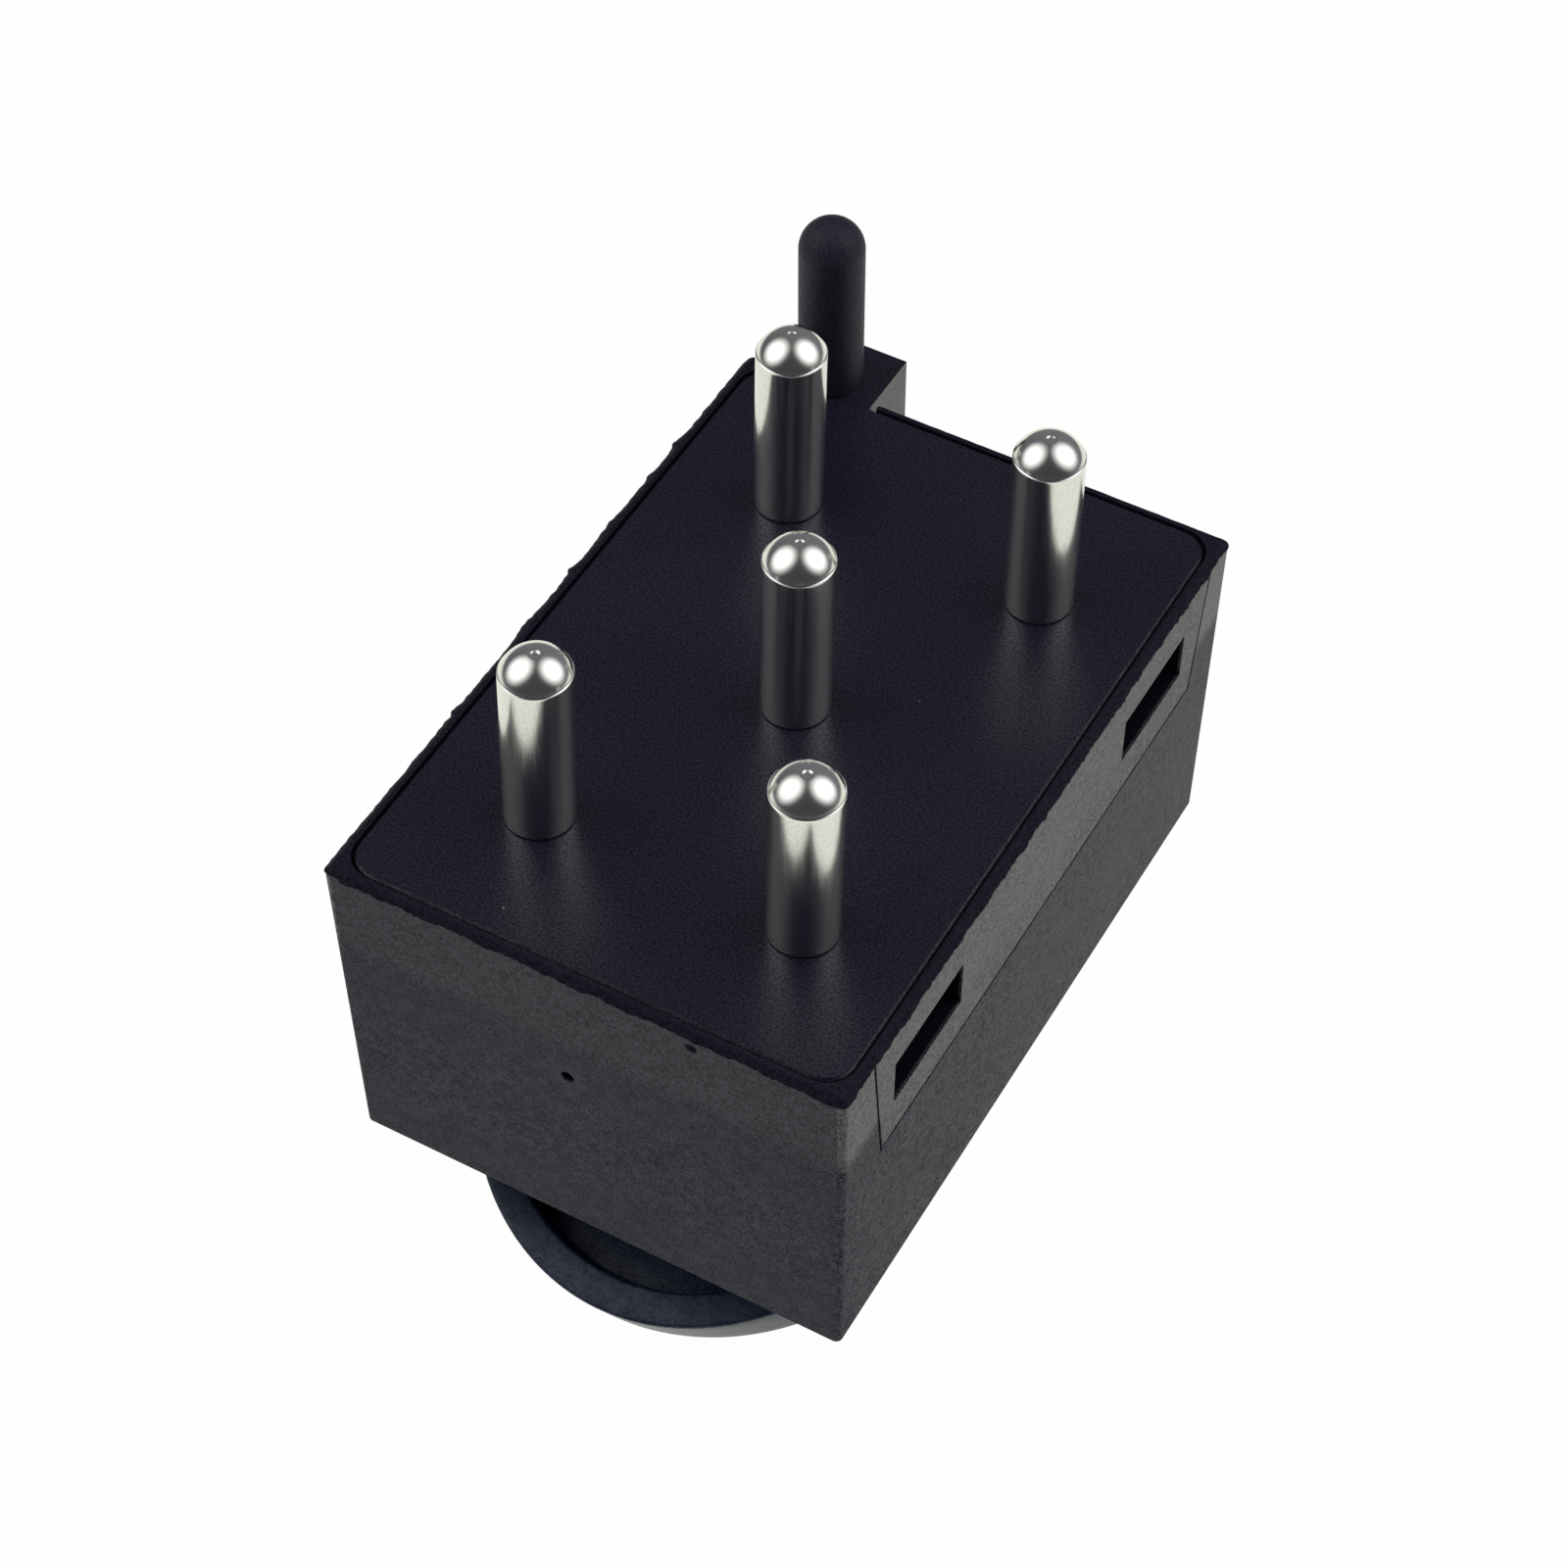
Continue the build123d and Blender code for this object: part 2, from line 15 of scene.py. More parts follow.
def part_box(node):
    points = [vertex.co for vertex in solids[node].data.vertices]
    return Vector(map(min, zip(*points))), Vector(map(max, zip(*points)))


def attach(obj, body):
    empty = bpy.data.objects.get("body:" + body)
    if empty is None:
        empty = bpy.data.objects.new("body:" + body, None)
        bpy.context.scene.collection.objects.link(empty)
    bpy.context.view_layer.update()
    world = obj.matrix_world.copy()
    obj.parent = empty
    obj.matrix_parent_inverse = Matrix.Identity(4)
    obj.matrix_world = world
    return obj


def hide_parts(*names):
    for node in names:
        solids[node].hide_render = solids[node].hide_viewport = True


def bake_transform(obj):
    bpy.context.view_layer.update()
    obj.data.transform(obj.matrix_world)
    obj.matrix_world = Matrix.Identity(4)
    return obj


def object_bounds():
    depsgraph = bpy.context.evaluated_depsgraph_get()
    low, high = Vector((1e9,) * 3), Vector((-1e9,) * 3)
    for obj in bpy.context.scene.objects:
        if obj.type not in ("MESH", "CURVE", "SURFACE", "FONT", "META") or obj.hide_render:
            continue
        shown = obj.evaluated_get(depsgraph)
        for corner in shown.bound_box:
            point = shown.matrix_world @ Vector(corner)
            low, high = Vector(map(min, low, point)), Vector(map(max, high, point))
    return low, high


bl_info = {
    "name": "Power window switch",
    "version": (1, 0, 0),
    "blender": (4, 5, 0),
    "location": "3D View > Sidebar > Window Switch",
    "description": "Finishes, turned pins, springs and knob of a window switch, and its studio",
    "category": "Add Mesh",
}

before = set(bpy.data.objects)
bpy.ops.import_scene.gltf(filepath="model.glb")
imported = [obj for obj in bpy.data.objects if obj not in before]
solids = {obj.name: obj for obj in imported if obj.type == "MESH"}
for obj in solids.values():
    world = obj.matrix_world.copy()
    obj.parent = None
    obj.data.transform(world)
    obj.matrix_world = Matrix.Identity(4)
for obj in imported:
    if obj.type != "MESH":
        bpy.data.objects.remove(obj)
solid_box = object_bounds()

MM = 0.001


def box_mm(node):
    """Lowest and highest corner of a solid, as two arrays in millimetres."""
    low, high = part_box(node)
    return np.array(low) / MM, np.array(high) / MM


HOUSING_LOW, HOUSING_HIGH = box_mm("housing")
HOUSING_MIDDLE = (HOUSING_LOW + HOUSING_HIGH) / 2


# Sizes and colours

def colour(name, description, default):
    """A colour that the user may change."""
    return FloatVectorProperty(name=name, description=description, default=default,
                               subtype="COLOR", size=3, min=0.0, max=1.0)


def length(name, description, default_mm):
    """A length that the user may change; its default is given in millimetres."""
    return FloatProperty(name=name, description=description, default=default_mm * MM,
                         subtype="DISTANCE", unit="LENGTH", min=0.0, precision=5)


def fraction(name, description, default):
    """A value from 0 to 1 that the user may change."""
    return FloatProperty(name=name, description=description, default=default, min=0.0, max=1.0,
                         subtype="FACTOR")


def camera_angle(name, description, degrees):
    """An angle that the user may change; its default is given in degrees."""
    return FloatProperty(name=name, description=description, default=math.radians(degrees),
                         subtype="ANGLE", unit="ROTATION")


def lamp_power(name, description, watts):
    """A lamp's power that the user may change."""
    return FloatProperty(name=name, description=description, default=watts, min=0.0,
                         subtype="POWER", unit="POWER")


class PlasticLooks(bpy.types.PropertyGroup):
    """Colours and roughness of the moulded parts."""
    housing: colour("Housing", "Spark-eroded black of the housing", (0.0162, 0.0174, 0.0310))
    panel: colour("Side-core panel", "Smoother black of the panels on the long sides",
                  (0.0300, 0.0330, 0.0410))
    plate: colour("Base plate", "Semi-gloss blue-black of the base plate",
                  (0.0092, 0.0092, 0.0205))
    knob: colour("Knob", "Satin black of the rocker knob", (0.0130, 0.0210, 0.0490))
    nylon: colour("Inner parts", "Natural nylon of the frame, carriage and plungers",
                  (0.60, 0.57, 0.50))
    dust: colour("Dust", "Specks of dust on the dark plastics", (0.16, 0.16, 0.17))
    housing_rough: fraction("Housing roughness", "Roughness of the housing's grain", 0.62)
    plate_rough: fraction("Plate roughness", "Roughness of the base plate", 0.30)
    knob_rough: fraction("Knob roughness", "Roughness of the knob", 0.42)


class MetalLooks(bpy.types.PropertyGroup):
    """Colours and roughness of the metal parts."""
    nickel: colour("Pins", "Bright nickel plate of the terminal pins", (0.80, 0.805, 0.755))
    brass: colour("Strips", "Stamped brass of the fixed strips and bridges", (0.72, 0.53, 0.26))
    silver: colour("Contact points", "Silver alloy of the contact points", (0.86, 0.85, 0.82))
    steel: colour("Steel", "Drawn wire of the springs and ground steel of the axle",
                  (0.56, 0.56, 0.55))
    pin_rough: fraction("Pin roughness", "Roughness of a pin's dome", 0.18)


class PinSizes(bpy.types.PropertyGroup):
    """Sizes that finish a turned pin beyond its solid."""
    dome: length("Dome", "Height of the domed tip", 1.45)
    edge: length("Edge", "Rounding where the dome meets the shaft", 0.06)
    dimple_radius: length("Dimple radius", "Radius of the centre mark on the tip", 0.25)
    dimple_depth: length("Dimple depth", "Depth of the centre mark on the tip", 0.09)
    foot: length("Foot", "Chamfer at the foot of the shaft", 0.10)
    sides: IntProperty(name="Sides", description="Points round one pin", default=96, min=24)


class KnobSizes(bpy.types.PropertyGroup):
    """Sizes that finish the knob beyond its solid."""
    radius: length("Radius", "Radius of the knob's two round ends", 14.3)
    flat: length("Flat sides", "From the middle to each of the two flat sides", 12.4)
    bend: length("Bend", "Radius that the knob's back is bent to", 30.3)
    thickness: length("Thickness", "Depth of the knob's wall", 4.0)
    skin: length("Skin", "Thickness of the face the finger touches", 1.8)
    rim: length("Rim", "Width of the wall round the hollow back", 1.88)
    face_edge: length("Face edge", "Rounding of the edge of the face", 0.9)
    rim_edge: length("Rim edge", "Rounding of the rim's two edges", 0.22)
    sides: IntProperty(name="Sides", description="Points round the knob", default=192, min=48)


class SpringSizes(bpy.types.PropertyGroup):
    """Wire and turns of the coil springs."""
    return_wire: length("Return wire", "Radius of the return springs' wire", 0.2)
    return_turns: FloatProperty(name="Return turns", description="Turns of a return spring",
                                default=6.5, min=2.0)
    contact_wire: length("Contact wire", "Radius of the contact springs' wire", 0.15)
    contact_turns: FloatProperty(name="Contact turns", description="Turns of a contact spring",
                                 default=5.5, min=2.0)


class RimSizes(bpy.types.PropertyGroup):
    """The ragged flash on the bevel of the housing's rim."""
    bevel: length("Bevel", "Width and height of the rim's bevel", 0.35)
    thickness: length("Thickness", "Half thickness of the flash", 0.03)
    ragged: length("Ragged", "How far the flash's lower edge wanders", 0.15)
    bumps: length("Bumps", "Height of the lumps on the left side", 0.22)
    steps: IntProperty(name="Steps", description="Points along the flash", default=2200, min=200)


class StudioLooks(bpy.types.PropertyGroup):
    """Camera, lamps and floor."""
    camera_place: FloatVectorProperty(
        name="Camera place", description="Where the camera stands", subtype="TRANSLATION",
        unit="LENGTH", size=3, default=(0.06605, -0.11774, 0.15099))
    camera_azimuth: camera_angle("Azimuth", "Camera's turn about Z", 28.82)
    camera_elevation: camera_angle("Elevation", "Camera's angle above level", 50.093)
    camera_roll: camera_angle("Roll", "Camera's turn about its own axis", 0.404)
    lens: FloatProperty(name="Lens", description="Focal length in millimetres", default=85.51,
                        subtype="DISTANCE_CAMERA")
    shift: FloatVectorProperty(name="Shift", description="Shift of the picture's centre", size=2,
                               default=(-0.0198, 0.0268))
    left_lamp: lamp_power("Left lamp", "Power of the left softbox", 4.5)
    right_lamp: lamp_power("Right lamp", "Power of the right softbox", 4.5)
    room: FloatProperty(name="Room light", description="Strength of the light from the room",
                        default=0.06, min=0.0)
    wall: FloatProperty(name="Wall light", description="Light that the wall behind adds",
                        default=0.12, min=0.0)
    floor: colour("Floor", "Colour of the plain pale floor", (0.80, 0.80, 0.80))
    sheet: colour("Sheet", "Colour of the floor where it is mirrored", (0.95, 0.955, 0.88))


# Shader maths

class Link:
    """An output socket.  Arithmetic on it adds Math nodes to its material."""

    def __init__(self, finish, socket):
        self.finish, self.socket = finish, socket

    def maths(self, operation, *inputs):
        return self.finish.node("ShaderNodeMath", {"operation": operation},
                                dict(enumerate(inputs)))

    def __add__(self, other):
        return self.maths("ADD", self, other)

    def __mul__(self, other):
        return self.maths("MULTIPLY", self, other)

    def __sub__(self, other):
        return self.maths("SUBTRACT", self, other)

    def __rsub__(self, other):
        return self.maths("SUBTRACT", other, self)

    def __pow__(self, other):
        return self.maths("POWER", self, other)

    def __abs__(self):
        return self.maths("ABSOLUTE", self)

    def __gt__(self, other):
        return self.maths("GREATER_THAN", self, other)

    __radd__, __rmul__ = __add__, __mul__


class Finish:
    """A material, or the world or a lamp, whose nodes are made here."""

    def __init__(self, owner):
        owner.use_nodes = True
        self.owner, self.tree = owner, owner.node_tree
        self.tree.nodes.clear()

    def node(self, kind, settings=None, inputs=None, output=0):
        """Add a node: first its settings, then the values or links of its sockets."""
        made = self.tree.nodes.new(kind)
        for key, value in (settings or {}).items():
            setattr(made, key, value)
        for key, value in (inputs or {}).items():
            if isinstance(value, Link):
                self.tree.links.new(value.socket, made.inputs[key])
            else:
                made.inputs[key].default_value = value
        return Link(self, made.outputs[output])

    def at_mm(self, stretch=(1, 1, 1)):
        """Object coordinates in millimetres, each axis stretched by its own factor."""
        here = self.node("ShaderNodeTexCoord", output="Object")
        return self.node("ShaderNodeVectorMath", {"operation": "MULTIPLY"},
                         {0: here, 1: tuple(s / MM for s in stretch)})

    def xyz(self, at):
        """The three coordinates of a place, as numbers."""
        return [self.node("ShaderNodeSeparateXYZ", None, {0: at}, axis) for axis in range(3)]

    def noise(self, at, per_mm, detail=2.0, rough=0.5):
        """Cloudy noise from 0 to 1, with so many lumps a millimetre."""
        return self.node("ShaderNodeTexNoise", None,
                         {"Vector": at, "Scale": per_mm, "Detail": detail, "Roughness": rough})

    def step(self, value, low, high):
        """0 below low, 1 above high, and a smooth rise between them."""
        return self.node("ShaderNodeMapRange", {"interpolation_type": "SMOOTHSTEP"},
                         {"Value": value, "From Min": low, "From Max": high})

    def blend(self, factor, first, second):
        """The first colour where the factor is 0, the second where it is 1."""
        first, second = (c if isinstance(c, Link) else (*tuple(c)[:3], 1.0)
                         for c in (first, second))
        return self.node("ShaderNodeMix", {"data_type": "RGBA"},
                         {0: factor, 6: first, 7: second}, 2)

    def specks(self, at, per_mm, share, size):
        """1 on small round specks: of the cells, this share has one, so many cells wide."""
        cell = {"Vector": at, "Scale": per_mm, "Randomness": 1.0}
        near = self.node("ShaderNodeTexVoronoi", None, cell, "Distance")
        lot = self.node("ShaderNodeTexVoronoi", None, cell, "Color")
        chosen = self.xyz(lot)[0] > 1.0 - share
        return chosen * (1.0 - self.step(near, size * 0.6, size))

    def bump(self, height, depth_mm, normal=None):
        """Relief: the height, from 0 to 1, stands for this depth."""
        sockets = {"Height": height, "Distance": depth_mm * MM, "Strength": 1.0}
        if normal:
            sockets["Normal"] = normal
        return self.node("ShaderNodeBump", None, sockets)

    def principled(self, **sockets):
        """Principled shader; a socket's name is written with _ for a space."""
        inputs = {key.replace("_", " "): value for key, value in sockets.items()}
        base = inputs.get("Base Color")
        if base is not None and not isinstance(base, Link):
            inputs["Base Color"] = (*tuple(base)[:3], 1.0)
        return self.node("ShaderNodeBsdfPrincipled", None, inputs)

    def metal(self, base, rough, normal):
        """Metal of this colour, roughness and relief."""
        return self.principled(Base_Color=base, Metallic=1.0, Roughness=rough, Normal=normal)

    def matt(self, base):
        """Plastic of this colour that hardly shines."""
        return self.principled(Base_Color=base, Roughness=0.8, Specular_IOR_Level=0.05)

    def grained(self, factor, dull, bright, **sockets):
        """Principled shader with one specular level where the factor is 0, another where 1."""
        return self.mixed(factor, *(self.principled(Specular_IOR_Level=level, **sockets)
                                    for level in (dull, bright)))

    def mixed(self, factor, first, second):
        """The first shader where the factor is 0, the second where it is 1."""
        return self.node("ShaderNodeMixShader", None, {0: factor, 1: first, 2: second})

    def output(self, shader, kind="ShaderNodeOutputMaterial"):
        """End the node tree with this shader."""
        end = self.tree.nodes.new(kind)
        self.tree.links.new(shader.socket, end.inputs["Surface"])
        return self.owner


def new_finish(name):
    """A finish on a new material."""
    return Finish(bpy.data.materials.new(name))


def dress(material, *nodes):
    """Give each of these solids the material, in every slot that it has."""
    for node in nodes:
        slots = solids[node].data.materials
        if len(slots) == 0:
            slots.append(material)
        for index in range(len(slots)):
            slots[index] = material


# Finishes

# Places on the housing and the plate, in millimetres in the solids' frame
PANEL_HALF_TOP, PANEL_HALF_BOTTOM, PANEL_SHIFT = 19.65, 18.5, 0.25
PANEL_TOP, PANEL_BOTTOM = -0.3, -9.0
PANEL_SLOPE = (PANEL_HALF_TOP - PANEL_HALF_BOTTOM) / (PANEL_TOP - PANEL_BOTTOM)
OUTER_SKIN = 0.5            # how near the widest side a point counts as on it
INNER_SKIN = 0.12           # how deep in the drafted wall a point counts as inside
WALL_SLOPE = math.tan(math.radians(0.7))
RIM_BAND = 0.40             # height of the dark band round the rim
UPPER_END = -6.0            # the walls are a little lighter above this level
GATE_X, GATE_Z = -1.4, -8.9     # middle of the gate mark on the front end
DARK_SPOT_X, DARK_SPOT_Z = 6.4, -1.1      # middle of the small dark spot under the rim, on the front end
PLATE_UNDER = -2.2          # the plate's hooks hang below this level
PEG_FOOT = 0.15             # the plate's peg stands above this level
DOME_FOOT = 1.6             # how far below its tip a pin's dome begins


def shade(tone, factor):
    """A colour, so many times as light."""
    return tuple(min(c * factor, 1.0) for c in tone)


def shades(tone, darker, lighter):
    """A darker and a lighter shade of a colour."""
    return shade(tone, darker), shade(tone, lighter)


def rim_plastic(f, looks, at, per_mm, lighter, dull, bright, rough, depth_mm):
    """The duller, darker plastic of the rim and its flash, with its grain's size, lighter shade,
    two specular levels, roughness and depth."""
    fine = f.noise(at, per_mm, 3.0, 0.7)
    speckle = f.step(fine, 0.34, 0.66)
    base = f.blend(speckle, *shades(looks.plate, 0.6, lighter))
    return f.grained(speckle, dull, bright, Base_Color=base, Roughness=rough + (fine - 0.5) * 0.2,
                     Normal=f.bump(fine, depth_mm))


def flash_finish(looks):
    """The rim's flash: torn plastic, duller than the rest."""
    f = new_finish("rim_flash_black")
    return f.output(rim_plastic(f, looks, f.at_mm(), 6.0, 1.2, 0.04, 0.16, 0.62, 0.02))


def housing_finish(looks):
    """Spark-eroded black: a coarse sparkling grain, lighter above UPPER_END, smoother panels on
    the long sides that narrow downwards, a dark rim band with a ragged lower edge, a small
    dark spot below it, a pale halo round the gate mark, and painted shade inside: the inner
    walls are a darker matt black."""
    f = new_finish("spark_eroded_black")
    at = f.at_mm()
    x, y, z = f.xyz(at)
    middle_x, middle_y, _ = HOUSING_MIDDLE
    half_width = (HOUSING_HIGH[0] - HOUSING_LOW[0]) / 2
    half_length = (HOUSING_HIGH[1] - HOUSING_LOW[1]) / 2
    fine = f.noise(at, 7.0, 3.0, 0.75)
    coarse = f.noise(at, 1.7, 2.0)
    grit = f.noise(at, 3.2, 3.0, 0.7)
    cloud = f.noise(at, 0.22, 3.0, 0.6)
    half = PANEL_HALF_BOTTOM + (z - PANEL_BOTTOM) * PANEL_SLOPE
    long_side = f.step(abs(x - middle_x), half_width - OUTER_SKIN, half_width - OUTER_SKIN + 0.1)
    panel = (f.step(half - abs(y - middle_y - PANEL_SHIFT), 0.0, 0.12)
             * f.step(z, PANEL_BOTTOM, PANEL_BOTTOM + 0.12) * long_side)
    lean = z * WALL_SLOPE
    # painted shade: the inner walls are masked here and take the darker matt black below
    inside = (f.step(half_width - abs(x - middle_x) + lean, INNER_SKIN, INNER_SKIN + 0.1)
              * f.step(half_length - abs(y - middle_y) + lean, INNER_SKIN, INNER_SKIN + 0.1)
              * f.step(0.0 - z, 0.5, 0.7))
    edge = f.noise(at, 2.2, 4.0, 0.75)
    rim = f.step(z + (edge - 0.5) * 0.75, -RIM_BAND - 0.04, -RIM_BAND + 0.04)
    gate_far = ((x - GATE_X) ** 2.0 + (z - GATE_Z) ** 2.0) ** 0.5
    front = 1.0 - f.step(y, HOUSING_LOW[1] + 0.3, HOUSING_LOW[1] + 0.6)
    halo = f.step(gate_far, 0.35, 0.6) * (1.0 - f.step(gate_far, 0.7, 1.5)) * front
    # a small dark spot under the rim, in the same dark matt as the painted shade inside
    dark_spot_far = (((x - DARK_SPOT_X) * 0.7) ** 2.0 + (z - DARK_SPOT_Z) ** 2.0) ** 0.5
    dark_spot = (1.0 - f.step(dark_spot_far + (edge - 0.5) * 0.3, 0.22, 0.32)) * front
    upper = f.step(z + (cloud - 0.5) * 1.2, UPPER_END - 1.1, UPPER_END + 1.1)
    dust = f.specks(at, 0.5, 0.05, 0.05)
    speckle = f.step(fine * 0.85 + coarse * 0.15, 0.34, 0.66)
    base = f.blend(speckle, *shades(looks.housing, 0.35, 1.75))
    smooth = f.blend(speckle, *shades(looks.panel, 0.35, 1.65))
    base = f.blend(upper * 0.2, base, smooth)
    polished = f.step(panel + long_side * upper * 0.9, 0.0, 1.0)
    base = f.blend(polished, base, smooth)
    base = f.blend(halo * 0.4, base, shade(looks.housing, 2.0))
    base = f.blend(dust, base, looks.dust)
    # the long sides are grittier than the rest; their shine grows towards the ear, a painted
    # sheen for the right softbox's light falling more on the back
    shine = ((speckle - 0.5) * (0.70 + long_side * 0.60) + 0.46 + upper * 0.14
             + (cloud - 0.5) * (0.15 + long_side * 0.7) + polished * 0.08
             + (grit - 0.5) * long_side * 1.4
             + (long_side - panel) * (y - HOUSING_LOW[1]) * 0.011)
    rough = (looks.housing_rough + (cloud - 0.5) * 0.12 + (fine - 0.5) * 0.35
             - polished * 0.20 - halo * 0.05)
    grain = fine * 0.7 + coarse * 0.3
    relief = f.bump(grain * (1.0 - polished * 0.35), 0.060)
    shell = f.grained(f.step(shine, -0.2, 1.2), 0.04, 0.70, Base_Color=base, Roughness=rough,
                      Normal=relief)
    # painted shade: a matt black darker than the housing, for the inner walls and the small dark
    # spot
    hollow = f.matt(shade(looks.plate, 0.4))
    band = rim_plastic(f, looks, at, 5.0, 1.15, 0.10, 0.24, 0.44, 0.012)
    outside = f.mixed(rim, shell, band)
    return f.output(f.mixed(f.step(inside + dark_spot, 0.0, 1.0), outside, hollow))


def plate_finish(looks):
    """Semi-gloss blue-black: a faint orange peel, soft sinks, hairline rubs and specks of dust.
    The peg is duller, and the hooks behind the windows are a darker matt black: painted shade."""
    f = new_finish("semi_gloss_blue_black")
    at = f.at_mm()
    _, y, z = f.xyz(at)
    peel = f.noise(at, 1.3, 2.0)
    fine = f.noise(at, 7.0, 3.0, 0.7)
    cloud = f.noise(at, 0.09, 3.0)
    rubs = f.noise(f.at_mm((0.25, 3.0, 1.0)), 1.6, 3.0, 0.7)
    dust = f.specks(at, 0.33, 0.08, 0.03)
    peg = f.step(z, PEG_FOOT, PEG_FOOT + 0.35)
    hooks = f.step(PLATE_UNDER - z, 0.0, 0.15) * f.step(HOUSING_HIGH[1] - y, 0.3, 0.5)
    speckle = f.step(fine, 0.36, 0.64)
    base = f.blend(speckle, *shades(looks.plate, 0.45, 1.6))
    base = f.blend(cloud * 0.3, base, shade(looks.plate, 1.25))
    base = f.blend(peg * 0.5, base, shade(looks.plate, 1.6))
    base = f.blend(dust, base, looks.dust)
    rough = (looks.plate_rough + (cloud - 0.5) * 0.10 + (fine - 0.5) * 0.10
             + f.step(rubs, 0.55, 0.8) * 0.05 + dust * 0.3 + peg * 0.30)
    relief = f.bump(peel, 0.0025, f.bump(fine, 0.003))
    plate = f.grained(speckle * (1.0 - peg * 0.4), 0.22, 0.58, Base_Color=base, Roughness=rough,
                      Normal=relief)
    # painted shade: the hooks behind the windows take a matt black darker than the plate
    return f.output(f.mixed(hooks, plate, f.matt(shade(looks.plate, 0.5))))


def knob_finish(looks):
    """Satin black, mottled, with a fine grain and a little shine where fingers rub the face."""
    f = new_finish("satin_knob_black")
    at = f.at_mm()
    z = f.xyz(at)[2]
    fine = f.noise(at, 6.0, 3.0, 0.7)
    cloud = f.noise(at, 0.9, 4.0, 0.65)
    lowest = box_mm("rocker_knob")[0][2]
    face = 1.0 - f.step(z, lowest + 3.4, lowest + 4.6)
    speckle = f.step(fine, 0.36, 0.64)
    base = f.blend(speckle, *shades(looks.knob, 0.6, 1.45))
    base = f.blend(f.step(cloud, 0.4, 0.65) * 0.45, base, shade(looks.knob, 1.7))
    rough = looks.knob_rough + (fine - 0.5) * 0.2 + (cloud - 0.5) * 0.14 - face * 0.08
    shine = speckle * 0.6 + f.step(cloud, 0.38, 0.62) * 0.4
    return f.output(f.grained(shine, 0.18, 0.50, Base_Color=base, Roughness=rough,
                              Normal=f.bump(fine, 0.02)))


def nylon_finish(looks):
    """Natural nylon: cloudy cream with a little light inside and a faint flow grain."""
    f = new_finish("natural_nylon")
    at = f.at_mm()
    cloud = f.noise(at, 0.5, 3.0)
    flow = f.noise(f.at_mm((0.5, 2.0, 0.5)), 0.8, 4.0, 0.6)
    fine = f.noise(at, 6.0, 2.0)
    base = f.blend(cloud, *shades(looks.nylon, 0.86, 1.12))
    base = f.blend(f.step(flow, 0.45, 0.75) * 0.35, base, (0.66, 0.58, 0.44))
    rough = 0.42 + (fine - 0.5) * 0.12 + (cloud - 0.5) * 0.10
    relief = f.bump(fine * 0.5 + flow * 0.5, 0.006)
    return f.output(f.principled(Base_Color=base, Roughness=rough, Normal=relief,
                                 Subsurface_Weight=0.15, Subsurface_Scale=0.0008))


def nickel_finish(looks):
    """Bright nickel over turned brass: drawn streaks along the shaft, a polished dome, and a
    breath of yellow in clouds on the shaft."""
    f = new_finish("bright_nickel")
    at = f.at_mm()
    z = f.xyz(at)[2]
    top = box_mm("terminal_pin_centre")[1][2]
    shaft = 1.0 - f.step(z, top - DOME_FOOT, top - DOME_FOOT + 0.3)
    streaks = f.noise(f.at_mm((1.0, 1.0, 0.035)), 5.5, 3.0, 0.7)
    cloud = f.noise(at, 0.35, 3.0)
    fine = f.noise(at, 7.0, 3.0, 0.7)
    pits = f.specks(at, 1.6, 0.04, 0.05)
    base = f.blend(cloud, shade(looks.nickel, 0.96), looks.nickel)
    base = f.blend(f.step(cloud, 0.55, 0.75) * shaft * 0.15, base, (0.74, 0.68, 0.53))
    base = f.blend(f.step(fine, 0.38, 0.62) * shaft * 0.35, base, (0.56, 0.58, 0.62))
    base = f.blend(pits * 0.4, base, (0.25, 0.24, 0.22))
    rough = looks.pin_rough + shaft * (f.step(streaks, 0.35, 0.7) * 0.06 - 0.02)
    return f.output(f.metal(base, rough, f.bump(streaks * shaft, 0.0012)))


def brass_finish(looks):
    """Stamped brass: rolling streaks, brown tarnish in clouds."""
    f = new_finish("stamped_brass")
    at = f.at_mm()
    streaks = f.noise(f.at_mm((4.0, 0.15, 4.0)), 2.0, 3.0, 0.7)
    cloud = f.noise(at, 0.45, 4.0, 0.6)
    tarnish = f.step(cloud, 0.48, 0.72)
    base = f.blend(tarnish * 0.6, looks.brass, (0.34, 0.22, 0.11))
    base = f.blend(f.step(streaks, 0.4, 0.8) * 0.25, base, shade(looks.brass, 0.7))
    rough = 0.24 + f.step(streaks, 0.3, 0.8) * 0.12 + tarnish * 0.14
    return f.output(f.metal(base, rough, f.bump(streaks, 0.004)))


def silver_finish(looks):
    """Silver alloy with the grey burn of switching in its middle."""
    f = new_finish("silver_alloy")
    at = f.at_mm()
    burn = f.step(f.noise(at, 1.4, 4.0, 0.65), 0.45, 0.7)
    fine = f.noise(at, 12.0, 2.0)
    base = f.blend(burn * 0.55, looks.silver, (0.30, 0.28, 0.26))
    rough = 0.22 + burn * 0.25 + (fine - 0.5) * 0.1
    return f.output(f.metal(base, rough, f.bump(fine, 0.003)))


def steel_finish(looks):
    """Drawn steel: die lines and a thin film of oil."""
    f = new_finish("drawn_steel")
    at = f.at_mm()
    lines = f.noise(f.at_mm((0.3, 3.0, 3.0)), 3.0, 3.0, 0.7)
    cloud = f.noise(at, 0.8, 3.0)
    base = f.blend(cloud, *shades(looks.steel, 0.85, 1.15))
    rough = 0.20 + f.step(lines, 0.35, 0.75) * 0.14
    return f.output(f.metal(base, rough, f.bump(lines, 0.002)))


# Surfaces

